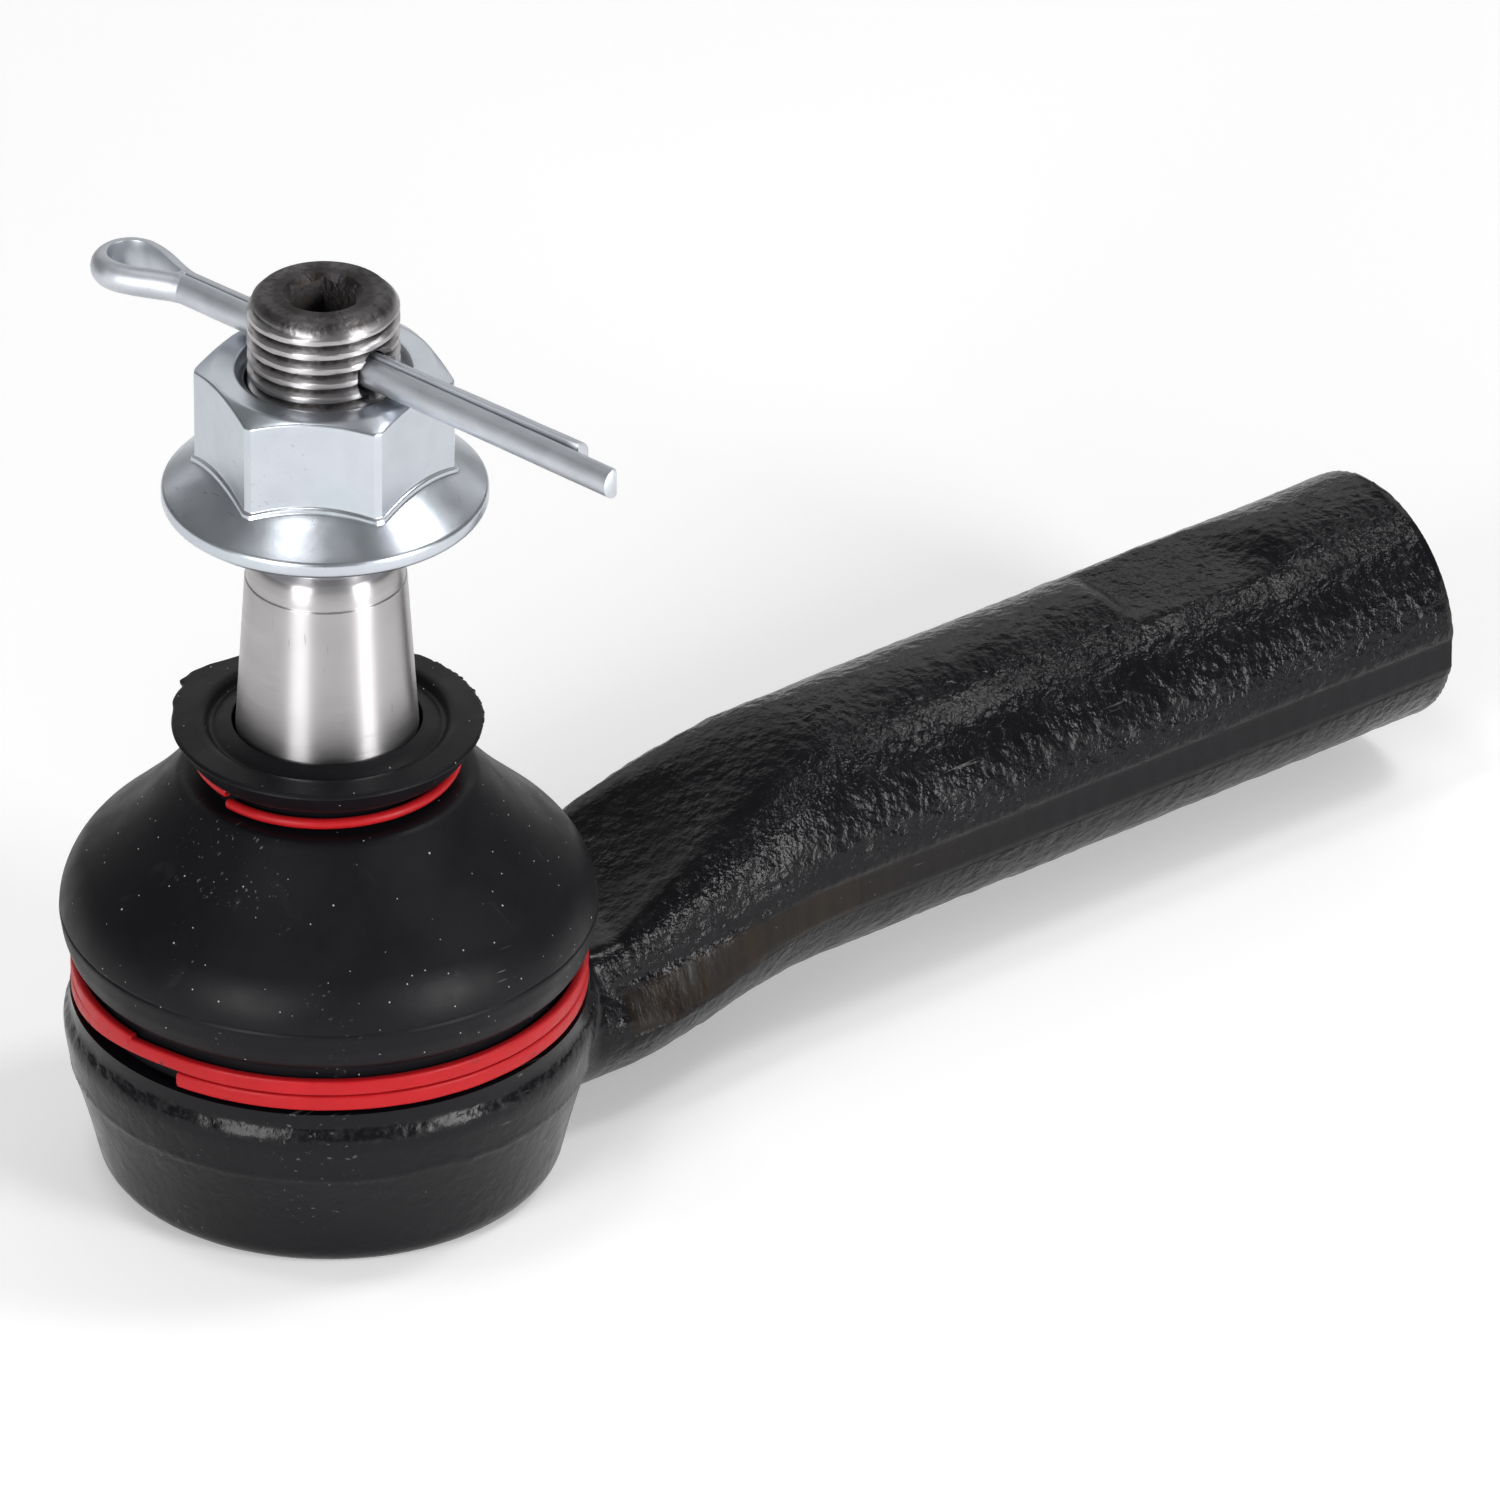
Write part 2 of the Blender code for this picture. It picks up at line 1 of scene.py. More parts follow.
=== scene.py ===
"""The looks of a tie rod end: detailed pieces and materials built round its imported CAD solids.

Shapes are drawn in millimetres and made in metres. The stud's axis is Z, the shank runs along X and the
socket stands on z = 0. Angles are in degrees from +X, seen from above. An outline is a list of
(radius, height, ease) corners; the ease says how far from the corner its rounding starts.
"""
import math

import bmesh
import bpy
import numpy as np
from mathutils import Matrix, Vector, noise


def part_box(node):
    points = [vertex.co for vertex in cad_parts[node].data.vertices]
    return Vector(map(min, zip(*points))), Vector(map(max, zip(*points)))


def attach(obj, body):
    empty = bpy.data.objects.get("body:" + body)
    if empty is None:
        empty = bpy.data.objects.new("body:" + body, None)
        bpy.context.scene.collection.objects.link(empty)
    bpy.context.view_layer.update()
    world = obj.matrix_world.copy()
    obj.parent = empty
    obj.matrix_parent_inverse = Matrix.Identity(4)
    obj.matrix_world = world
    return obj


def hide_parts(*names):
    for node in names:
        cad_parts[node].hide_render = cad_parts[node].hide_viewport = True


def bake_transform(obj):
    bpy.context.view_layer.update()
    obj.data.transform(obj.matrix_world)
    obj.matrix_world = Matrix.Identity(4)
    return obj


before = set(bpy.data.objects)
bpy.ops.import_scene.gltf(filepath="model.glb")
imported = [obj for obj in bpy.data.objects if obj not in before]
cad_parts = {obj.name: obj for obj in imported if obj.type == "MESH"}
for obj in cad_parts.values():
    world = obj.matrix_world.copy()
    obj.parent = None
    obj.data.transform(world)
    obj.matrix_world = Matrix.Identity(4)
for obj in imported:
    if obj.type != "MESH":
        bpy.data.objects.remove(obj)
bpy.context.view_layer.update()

MM = 0.001


def low(node, axis):
    """A CAD node's lowest coordinate along an axis, in mm; high gives its highest."""
    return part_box(node)[0][axis] / MM


def high(node, axis):
    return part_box(node)[1][axis] / MM


X, Z = 0, 2                  # places of the axes in a point
EASE_POINTS = 5              # points on each rounded corner
END_SCALE = 0.8              # how far a swept piece narrows at its ends
END_LENGTH = 0.15            # and over what length

# ball joint and stud
BALL_RADIUS = 12.5
BALL_HEIGHT = 16.0
BALL_BOTTOM = low("ball_stud", Z)
STUD_TOP = high("ball_stud", Z)
STUD_NECK = 6.6
BOOT_SEAT = 7.6              # radius of the stud where the boot's collar grips it
TAPER_BOTTOM = (8.45, 45.6)
TAPER_TOP = (7.51, 60.6)
SHOULDER_TOP = 64.2
THREAD_RADIUS = 7.0          # M14 x 1.5
THREAD_BOTTOM = 66.6
THREAD_DEPTH = 0.85
THREAD_PITCH = 1.5
KEY_FLATS = 6.0              # the key socket in the stud's end
KEY_DEPTH = 7.0
KEY_TURN = 22.0
PIN_HOLE = 2.0               # radius of the cross hole
PIN_HEIGHT = (low("cotter_pin", Z) + high("cotter_pin", Z)) / 2

# nut
NUT_BOTTOM = low("flange_nut", Z)
NUT_TOP = high("flange_nut", Z)
NUT_FLATS = 21.0
NUT_TURN = -13.0             # direction one of its flats faces
NUT_BORE = 7.3
FLANGE_RADIUS = 15.0
FLANGE_RIM = 1.9

# cotter pin
PIN_ANGLE = -80.0
PIN_RADIUS = 1.5
PIN_SPLIT = 0.12
PIN_LEG_RISE = 0.4           # how much higher the short leg lies than the long one
PIN_LONG_LEG = 36.0
PIN_SHORT_LEG = 30.9
PIN_EYE_END = 27.45
PIN_EYE_RADIUS = 2.2
PIN_EYE_NECK = 16.5
PIN_EYE_LEAN = 0.35

# socket and shank
OPENING = 22.6               # height of the socket's top face
SEAT_RADIUS = 14.7
CAVITY_RADIUS = 15.2
CAVITY_BOTTOM = 2.9
COVER_RADIUS = 19.3
COVER_TOP = high("end_cover", Z)
LIP_RADIUS = 17.0
LIP = 0.7
SHANK_END = high("socket_housing", X)
SHANK_HEIGHT = 15.0
SHANK_RADIUS = 12.2
NECK_DROP = 2.6
NECK_START = 26.0
NECK_END = 52.0
NECK_WAIST = 0.8
UNDERSIDE_FLARE = 2.4
TRIM_SIDE = 12.0
TRIM_TOP = 0.7
TRIM_BOTTOM = -3.3
PAD_START = 90.0
PAD_END = 111.0
PAD_HEIGHT = 10.95
RIDGE_ROUNDING = 2.8         # height over which the relief's edge is rounded
BORE_RADIUS = 7.3
BORE_DEPTH = 58.0
BORE_THREAD = 44.0
VOXEL = 0.4                  # grain of the forging's mesh

# boot and rings
BOOT_WIDEST = 24.85
BELLY_CENTRE = (17.6, 26.4)
BOOT_WALL = 1.8
BOOT_CONE = (18.0, 35.9)     # a corner on the outside of its cone
BOOT_SPLIT = (21.88, 32.3)   # where the boot's two halves meet, on the outside of its cone
SEAM_HEIGHT = 26.9
DENT_ANGLE = -105.6
DENT_HEIGHT = 29.3
UPPER_RING_RADIUS = 11.9
UPPER_WIRE = 0.5
UPPER_RING_START = -176.0
UPPER_RING_TURNS = 0.995
LOWER_RING_RADIUS = 23.45
LOWER_RING_START = -163.0
LOWER_RING_TURNS = 1.96
LOWER_RING_PITCH = 1.62
LOWER_RING_CLIMB = 50.0
LOWER_WIRE = (0.9, 1.5)


# ---------------------------------------------------------------- shape helpers

def smooth_step(value):
    value = min(max(value, 0.0), 1.0)
    return value * value * (3.0 - 2.0 * value)


def soft_min(a, b, reach):
    """The lower of two heights, with the corner where they cross rounded off."""
    near = max(reach - abs(a - b), 0.0) / reach
    return min(a, b) - near * near * reach / 4.0


def bump_at(value, centre, width):
    """A smooth hump: 1 at the centre, 0 a width away from it."""
    return smooth_step(1.0 - abs(value - centre) / width)


def around(place):
    """The angle of a place round the stud's axis, in degrees."""
    return math.degrees(math.atan2(place.y, place.x))


def turn_between(angle, other):
    """How far apart two angles are, the short way round."""
    return abs((angle - other + 180.0) % 360.0 - 180.0)


def grain(place, size, octaves=3):
    """Noise with features of a size in mm, from about -1 to 1."""
    return noise.fractal(place / size, 1.0, 2.0, octaves)


def arc(centre, radius, start, end, count):
    """Corners on an arc about a (radius, height) centre."""
    points = []
    for i in range(count):
        angle = math.radians(start + (end - start) * i / (count - 1))
        points.append((centre[0] + radius * math.cos(angle), centre[1] + radius * math.sin(angle), 0.0))
    return points


def divisions(corners, step):
    """How many parts each run between corners is divided into, so that none is longer than a step."""
    return [max(1, math.ceil(math.dist(a[:2], b[:2]) / step)) for a, b in zip(corners, corners[1:])]


def eased(corners, runs):
    """The points of an outline: its corners rounded by their ease, its straight runs divided."""
    points = []
    for i, (radius, height, ease) in enumerate(corners):
        here = Vector((radius, height))
        group = [here]
        if ease and 0 < i < len(corners) - 1:
            back = Vector(corners[i - 1][:2]) - here
            ahead = Vector(corners[i + 1][:2]) - here
            start = here + back.normalized() * min(ease, back.length * 0.45)
            end = here + ahead.normalized() * min(ease, ahead.length * 0.45)
            steps = [k / (EASE_POINTS - 1) for k in range(EASE_POINTS)]
            group = [start.lerp(here, t).lerp(here.lerp(end, t), t) for t in steps]
        if points:
            before = points[-1]
            points += [before.lerp(group[0], k / runs[i - 1]) for k in range(1, runs[i - 1])]
        points += group
    return points


def piece(name, vertices, faces):
    """An object from points in mm and faces, its doubled points merged and its faces turned outwards."""
    mesh = bpy.data.meshes.new(name)
    mesh.from_pydata([Vector(v) * MM for v in vertices], [], faces)
    bm = bmesh.new()
    bm.from_mesh(mesh)
    bmesh.ops.remove_doubles(bm, verts=bm.verts, dist=1e-7)
    bmesh.ops.recalc_face_normals(bm, faces=bm.faces)
    bm.to_mesh(mesh)
    bm.free()
    obj = bpy.data.objects.new(name, mesh)
    bpy.context.scene.collection.objects.link(obj)
    return obj


def lathe(name, corners, steps=128, step=0.5, closed=False):
    """A piece turned round Z from an outline that runs down its outer side, or a function of the angle."""
    outline_at = corners if callable(corners) else None
    runs = divisions(outline_at(0.0) if outline_at else corners, step)
    outline = None if outline_at else eased(corners, runs)
    vertices = []
    for i in range(steps):
        angle = 360.0 * i / steps
        column = outline or eased(outline_at(angle), runs)
        if closed:
            column = column[:-1]
        cos, sin = math.cos(math.radians(angle)), math.sin(math.radians(angle))
        vertices += [(p.x * cos, p.x * sin, p.y) for p in column]
    count = len(vertices) // steps
    faces = []
    for i in range(steps):
        here, there = i * count, (i + 1) % steps * count
        for j in range(count if closed else count - 1):
            k = (j + 1) % count
            faces.append((here + j, here + k, there + k, there + j))
    return piece(name, vertices, faces)


def sweep(name, path, section):
    """A closed section, in mm out from the path's right side and up, swept along a path in mm."""
    vertices = []
    last = len(path) - 1
    rings = [(0, END_SCALE, -END_LENGTH)] + [(i, 1.0, 0.0) for i in range(len(path))]
    rings.append((last, END_SCALE, END_LENGTH))
    for i, scale, ahead in rings:
        tangent = (path[min(i + 1, last)] - path[max(i - 1, 0)]).normalized()
        side = tangent.cross(Vector((0, 0, 1))).normalized()
        up = side.cross(tangent)
        place = path[i] + tangent * ahead
        vertices += [place + side * a * scale + up * b * scale for a, b in section]
    count = len(section)
    faces = [tuple(range(count)), tuple(range(len(vertices) - count, len(vertices)))]
    for i in range(len(rings) - 1):
        for j in range(count):
            k = (j + 1) % count
            faces.append((i * count + j, i * count + k, (i + 1) * count + k, (i + 1) * count + j))
    return piece(name, vertices, faces)


def smooth_path(points, per_run):
    """A curve through points, with a number of steps between each two."""
    path = []
    last = len(points) - 1
    for i in range(last):
        before, start = points[max(i - 1, 0)], points[i]
        end, after = points[i + 1], points[min(i + 2, last)]
        for k in range(per_run):
            t = k / per_run
            path.append(0.5 * (2 * start + (end - before) * t
                               + (2 * before - 5 * start + 4 * end - after) * t ** 2
                               + (3 * start - before - 3 * end + after) * t ** 3))
    return path + [points[-1]]


def combine(obj, other, operation):
    """Adds a boolean modifier that joins another object to obj or takes it away."""
    boolean = obj.modifiers.new("combine", "BOOLEAN")
    boolean.object = other
    boolean.operation = operation
    boolean.solver = "MANIFOLD"


def cut(obj, cutter):
    """Cuts obj with another object, which is then thrown away."""
    combine(obj, cutter, "DIFFERENCE")
    apply(obj)
    bpy.data.objects.remove(cutter)


def apply(obj):
    """Makes obj's modifiers real."""
    bpy.context.view_layer.update()
    made = bpy.data.meshes.new_from_object(obj.evaluated_get(bpy.context.evaluated_depsgraph_get()))
    obj.modifiers.clear()
    obj.data = made


def read(obj):
    """A mesh's points, in mm."""
    places = np.empty(len(obj.data.vertices) * 3)
    obj.data.vertices.foreach_get("co", places)
    return places.reshape(-1, 3) / MM


def write(obj, places):
    obj.data.vertices.foreach_set("co", (places * MM).ravel())
    obj.data.update()


def displace(obj, push):
    """Moves each point along its normal by push(place), in mm."""
    places = read(obj)
    normals = np.empty(places.size)
    obj.data.vertex_normals.foreach_get("vector", normals)
    pushes = np.array([push(Vector(place)) for place in places])
    write(obj, places + normals.reshape(-1, 3) * pushes[:, None])


def relax(obj, weigh, rounds):
    """Rounds a mesh off where weigh(place) is above 0, by moving points towards their neighbours."""
    places = read(obj)
    weights = np.array([weigh(Vector(place)) for place in places])
    edges = np.empty(len(obj.data.edges) * 2, int)
    obj.data.edges.foreach_get("vertices", edges)
    ends = edges.reshape(-1, 2)
    ends = ends[(weights[ends] > 0).any(axis=1)]
    near = np.concatenate((ends, ends[:, ::-1]))
    degree = np.maximum(np.bincount(near[:, 0], minlength=len(places)), 1)
    for _ in range(rounds):
        sums = [np.bincount(near[:, 0], places[near[:, 1], k], len(places)) for k in range(3)]
        places += weights[:, None] * (np.stack(sums, 1) / degree[:, None] - places) * 0.6
    write(obj, places)


def mark(obj, name, value):
    """Stores value(place) on each point, for the material to read."""
    layer = obj.data.attributes.new(name, "FLOAT", "POINT")
    layer.data.foreach_set("value", [value(Vector(place)) for place in read(obj)])


def dress(obj, material, slot, *nodes, sharp=38.0):
    """Gives a piece its material and shading, and hides the CAD nodes it stands for."""
    obj.data.materials.clear()
    obj.data.materials.append(material)
    obj.data.shade_smooth()
    obj.data.set_sharp_from_angle(angle=math.radians(sharp))
    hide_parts(*nodes)


# ---------------------------------------------------------------- materials

class Paint:
    """A Principled material being put together; each helper adds a node and returns its output."""

    def __init__(self, name, colour, roughness, metallic=0.0):
        self.material = bpy.data.materials.new(name)
        self.material.use_nodes = True
        self.material.diffuse_color = (*colour, 1.0)
        self.tree = self.material.node_tree
        self.shader = self.tree.nodes["Principled BSDF"]
        self.shader.inputs["Base Color"].default_value = (*colour, 1.0)
        self.shader.inputs["Roughness"].default_value = roughness
        self.shader.inputs["Metallic"].default_value = metallic
        self.place = self.tree.nodes.new("ShaderNodeTexCoord").outputs["Object"]

    def node(self, kind, inputs, output=0, **settings):
        made = self.tree.nodes.new(kind)
        for key, value in settings.items():
            setattr(made, key, value)
        for key, value in inputs.items():
            if isinstance(value, bpy.types.NodeSocket):
                self.tree.links.new(value, made.inputs[key])
            else:
                made.inputs[key].default_value = value
        return made.outputs[output]

    def noise(self, size, detail=4.0, stretch=(1, 1, 1), distortion=0.0):
        """Noise with features of a size in mm, stretched along an axis by a factor below 1."""
        scaled = self.node("ShaderNodeMapping", {"Vector": self.place, "Scale": stretch})
        return self.node("ShaderNodeTexNoise", {"Vector": scaled, "Scale": 1.0 / (size * MM),
                                                "Detail": detail, "Distortion": distortion})

    def ramp(self, value, start, end, low=0.0, high=1.0):
        """value from start to end, mapped to low to high."""
        return self.node("ShaderNodeMapRange", {"Value": value, "From Min": start, "From Max": end,
                                                "To Min": low, "To Max": high})

    def times(self, a, b, operation="MULTIPLY"):
        return self.node("ShaderNodeMath", {0: a, 1: b}, operation=operation)

    def attribute(self, name):
        return self.node("ShaderNodeAttribute", {}, "Fac", attribute_name=name)

    def specks(self, spacing, size, share):
        """Scattered round specks of a size in mm, in a share of the cells of a spacing in mm."""
        cells = {"Vector": self.place, "Scale": 1.0 / (spacing * MM)}
        cell = self.node("ShaderNodeTexVoronoi", cells, "Distance")
        pick = self.node("ShaderNodeTexVoronoi", cells, "Color")
        chosen = self.ramp(pick, 1.0 - share, 1.0 - share + 0.01)
        reach = size / spacing
        return self.times(self.ramp(cell, reach, reach * 0.6), chosen)

    def scuffs(self, width, stretch, share):
        """Short straight marks of a width in mm, stretched along an axis, gathered in a share of the skin."""
        streaks = self.ramp(self.noise(3.0 * width, 1.0, stretch), 0.685, 0.735)
        gathered = self.ramp(self.noise(10.0, 1.0), 0.7 - 0.4 * share, 0.76 - 0.4 * share)
        return self.times(streaks, gathered)

    def colour(self, value, start, end):
        """A colour that goes from start to end with value."""
        inputs = {"Factor": value, "A": self.as_colour(start), "B": self.as_colour(end)}
        return self.node("ShaderNodeMix", inputs, "Result", data_type="RGBA")

    def as_colour(self, value):
        return value if isinstance(value, bpy.types.NodeSocket) else (*value, 1.0)

    def set(self, name, value):
        self.tree.links.new(value, self.shader.inputs[name])

    def relief(self, *layers):
        """Bumps of (height, depth in mm), one over the other."""
        normal = None
        for height, depth in layers:
            inputs = {"Height": height, "Distance": depth * MM, "Strength": 1.0}
            if normal:
                inputs["Normal"] = normal
            normal = self.node("ShaderNodeBump", inputs)
        self.set("Normal", normal)


def forged_black():
    """Gloss black paint over a rough forging, brownish where the flash was sheared off near the neck."""
    paint = Paint("forged_black_paint", (0.004, 0.004, 0.0045), 0.3)
    paint.shader.inputs["Specular IOR Level"].default_value = 0.2
    band = paint.attribute("trim")
    brown = paint.times(band, paint.attribute("neck"))
    bare = paint.attribute("chips")
    mottled = paint.colour(paint.noise(7.0, 5.0), (0.0022, 0.002, 0.003), (0.0052, 0.0048, 0.0064))
    streaked = paint.times(brown, paint.ramp(paint.noise(1.4, 3.0, (1, 1, 0.15)), 0.35, 0.65, 0.35))
    tinted = paint.colour(streaked, mottled, (0.014, 0.0085, 0.004))
    marks = paint.scuffs(0.16, (0.07, 1.0, 1.0), 0.3)
    rubbed = paint.times(bare, paint.ramp(paint.noise(0.8, 2.0), 0.5, 0.8, 0.0, 0.4))
    worn = paint.times(marks, rubbed, "MAXIMUM")
    dusted = paint.times(worn, paint.specks(2.0, 0.1, 0.3), "MAXIMUM")
    paint.set("Base Color", paint.colour(paint.times(dusted, 0.6), tinted, (0.11, 0.107, 0.105)))
    rough = paint.ramp(paint.noise(2.6, 5.0), 0.3, 0.7, 0.18, 0.3)
    paint.set("Roughness", paint.times(rough, paint.ramp(band, 0.0, 1.0, 0.0, 0.06), "ADD"))
    patchy = paint.ramp(paint.noise(7.0, 2.0), 0.35, 0.65, 0.45, 1.0)
    skin = paint.times(paint.times(paint.noise(1.0, 3.0), patchy), paint.attribute("forged"))
    fine = paint.times(paint.noise(0.32, 3.0), paint.ramp(paint.attribute("forged"), 0.0, 1.0, 0.25, 1.0))
    shear = paint.times(paint.noise(0.7, 3.0, (1, 1, 0.08)), brown)
    paint.relief((skin, 0.36), (fine, 0.03), (shear, 0.05))
    return paint.material


def black_rubber():
    paint = Paint("black_rubber", (0.017, 0.017, 0.018), 0.5)
    paint.shader.inputs["Specular IOR Level"].default_value = 0.14
    cloud = paint.noise(9.0, 4.0)
    body = paint.colour(cloud, (0.0038, 0.0036, 0.0047), (0.0064, 0.006, 0.0076))
    hairs = paint.times(paint.scuffs(0.12, (0.05, 1.0, 1.0), 0.25), 0.5)
    dust = paint.times(paint.specks(1.2, 0.09, 0.6), paint.specks(3.0, 0.13, 0.7), "MAXIMUM")
    smear = paint.times(paint.ramp(paint.noise(5.5, 6.0, (1, 1, 0.6), 1.0), 0.66, 0.82, 0.0, 0.16),
                        paint.noise(0.5, 2.0))
    dulled = paint.colour(paint.times(hairs, smear, "MAXIMUM"), body, (0.15, 0.15, 0.147))
    paint.set("Base Color", paint.colour(dust, dulled, (0.4, 0.4, 0.39)))
    paint.set("Roughness", paint.ramp(paint.noise(4.0, 6.0), 0.3, 0.7, 0.36, 0.5))
    paint.relief((paint.noise(0.35, 4.0), 0.012), (dust, 0.03))
    return paint.material


def red_wire():
    paint = Paint("red_painted_wire", (0.56, 0.012, 0.022), 0.38)
    paint.shader.inputs["Specular IOR Level"].default_value = 0.2
    chips = paint.ramp(paint.noise(1.6, 4.0, (1, 1, 1), 0.6), 0.68, 0.71)
    body = paint.colour(paint.noise(3.0, 3.0), (0.33, 0.006, 0.009), (0.44, 0.01, 0.014))
    paint.set("Base Color", paint.colour(chips, body, (0.09, 0.02, 0.02)))
    paint.set("Roughness", paint.ramp(paint.noise(1.5, 4.0), 0.3, 0.7, 0.32, 0.5))
    paint.relief((paint.noise(0.4, 3.0), 0.02), (chips, -0.04))
    return paint.material


def turned_steel():
    """Satin steel with fine turning marks round the axis; its key socket and thread roots are painted dark as
    shade.
    """
    paint = Paint("turned_steel", (0.5, 0.485, 0.48), 0.34, 1.0)
    paint.shader.inputs["Anisotropic"].default_value = 0.85
    paint.shader.inputs["Anisotropic Rotation"].default_value = 0.25
    paint.set("Tangent", paint.node("ShaderNodeTangent", {}, direction_type="RADIAL", axis="Z"))
    rings = paint.noise(0.22, 3.0, (0.04, 0.04, 1.0))
    body = paint.colour(paint.noise(4.0, 4.0), (0.46, 0.445, 0.45), (0.52, 0.505, 0.51))
    stains = paint.times(paint.specks(4.0, 0.14, 0.16), paint.scuffs(0.1, (1.0, 1.0, 0.1), 0.15),
                         "MAXIMUM")
    rust = paint.times(paint.attribute("rough"), paint.ramp(paint.noise(0.9, 5.0), 0.45, 0.65))
    stained = paint.colour(paint.times(stains, 0.5), body, (0.12, 0.1, 0.09))
    # Darker grey where the rough mask is: painted shade in the key socket and the thread's roots, and a
    # duller end face.
    worn = paint.colour(paint.attribute("rough"), stained, (0.07, 0.066, 0.07))
    paint.set("Base Color", paint.colour(rust, worn, (0.07, 0.06, 0.055)))
    satin = paint.ramp(rings, 0.3, 0.7, 0.3, 0.38)
    added = paint.ramp(paint.attribute("rough"), 0.0, 1.0, 0.0, 0.22)
    paint.set("Roughness", paint.times(satin, added, "ADD"))
    pits = paint.times(paint.noise(0.5, 5.0), paint.attribute("rough"))
    paint.relief((rings, 0.006), (pits, 0.12))
    return paint.material


def zinc(name, colour, dark, roughness):
    """Bright zinc plate: a bluish metal, faintly clouded, with small dull spots."""
    paint = Paint(name, colour, roughness, 1.0)
    body = paint.colour(paint.ramp(paint.noise(3.5, 6.0, (1, 1, 1), 0.5), 0.4, 0.75, 0.0, 0.6), colour, dark)
    tint = paint.colour(paint.ramp(paint.noise(11.0, 2.0), 0.55, 0.75, 0.0, 0.35), body, (0.5, 0.62, 0.62))
    spots = paint.times(paint.specks(1.5, 0.12, 0.2), paint.scuffs(0.12, (1.0, 0.2, 1.0), 0.3),
                        "MAXIMUM")
    paint.set("Base Color", paint.colour(paint.times(spots, 0.35), tint, (0.2, 0.21, 0.22)))
    satin = paint.ramp(paint.noise(2.5, 4.0), 0.3, 0.7, roughness - 0.03, roughness + 0.04)
    paint.set("Roughness", satin)
    paint.relief((paint.noise(1.4, 3.0), 0.01), (paint.noise(0.25, 2.0), 0.004))
    return paint.material


def seat_plastic():
    paint = Paint("seat_plastic", (0.72, 0.69, 0.6), 0.45)
    paint.set("Base Color", paint.colour(paint.noise(6.0, 3.0), (0.7, 0.67, 0.58), (0.78, 0.75, 0.66)))
    paint.set("Roughness", paint.ramp(paint.noise(2.0, 4.0), 0.3, 0.7, 0.38, 0.52))
    paint.relief((paint.noise(0.4, 3.0), 0.01))
    return paint.material


def spring_steel():
    paint = Paint("spring_steel", (0.22, 0.22, 0.24), 0.36, 1.0)
    paint.set("Base Color", paint.colour(paint.noise(5.0, 4.0), (0.16, 0.16, 0.19), (0.28, 0.27, 0.27)))
    paint.set("Roughness", paint.ramp(paint.noise(1.5, 4.0), 0.3, 0.7, 0.3, 0.46))
    paint.relief((paint.noise(0.3, 3.0, (0.1, 0.1, 1.0)), 0.01))
    return paint.material


# ---------------------------------------------------------------- socket and shank

def relief_height(distance):
    """Height of the dished relief round the boot, at a distance from the stud's axis."""
    return 17.2 + 0.4 * max(distance - 28.0, 0.0)


def shank_section(x, count):
    """The shank's outline at x, as (x, y, z) points."""
    neck = 1.0 - smooth_step((x - NECK_START) / (NECK_END - NECK_START))
    flare = 1.0 - smooth_step((x - NECK_START) / (NECK_END - NECK_START - 4.0))
    axis = SHANK_HEIGHT - NECK_DROP * neck
    pad = smooth_step((x - PAD_START) / 2.5) * smooth_step((PAD_END - x) / 7.0)
    points = []
    for i in range(count):
        angle = math.tau * i / count
        z = SHANK_RADIUS * math.cos(angle)
        waist = SHANK_RADIUS + (UNDERSIDE_FLARE * flare if z < TRIM_BOTTOM else -NECK_WAIST * neck)
        y = waist * math.sin(angle)
        if TRIM_BOTTOM <= z <= TRIM_TOP:
            lean = 2.0 * flare * (TRIM_TOP - z) / (TRIM_TOP - TRIM_BOTTOM)
            y = math.copysign(TRIM_SIDE + lean, y)
        z -= max(z - PAD_HEIGHT, 0.0) * pad
        points.append((x, y, soft_min(axis + z, relief_height(math.hypot(x, y)), RIDGE_ROUNDING)))
    return points


def shank_blank():
    """The shank before its skin is roughened."""
    count = 160
    stations = np.linspace(13.0, SHANK_END, 150)
    vertices = [point for x in stations for point in shank_section(x, count)]
    faces = [tuple(range(count)), tuple(range(len(vertices) - count, len(vertices)))]
    for i in range(len(stations) - 1):
        for j in range(count):
            k = (j + 1) % count
            faces.append((i * count + j, i * count + k, (i + 1) * count + k, (i + 1) * count + j))
    return piece("forged_socket", vertices, faces)


def socket_blank():
    """The socket's outside as forged: a wall under the boot, a worn edge, a taper to the underside."""
    corners = [(0.0, OPENING + 0.6, 0.0), (24.0, OPENING + 0.6, 0.0), (24.0, 16.4, 0.5),
               (24.55, 15.7, 0.5), (24.65, 14.6, 0.8), (24.1, 11.2, 0.6), (22.9, 7.2, 2.0),
               (22.1, 4.0, 1.0), (21.5, 1.5, 0.5), (20.8, 0.5, 0.5), (19.6, 0.0, 0.3), (0.0, 0.0, 0.0)]
    return lathe("socket_blank", corners, 160, 1.0)


def in_trim(place):
    """From 0 to 1, how far a place lies on the smooth band where the forging's flash was sheared off."""
    neck = 1.0 - smooth_step((place.x - NECK_START) / (NECK_END - NECK_START))
    height = place.z - SHANK_HEIGHT + NECK_DROP * neck
    band = smooth_step((height - TRIM_BOTTOM + 0.2) / 0.4) * smooth_step((TRIM_TOP + 0.2 - height) / 0.4)
    return band * smooth_step((place.x - 24.0) / 2.0) * smooth_step((abs(place.y) - 11.2) / 0.4)


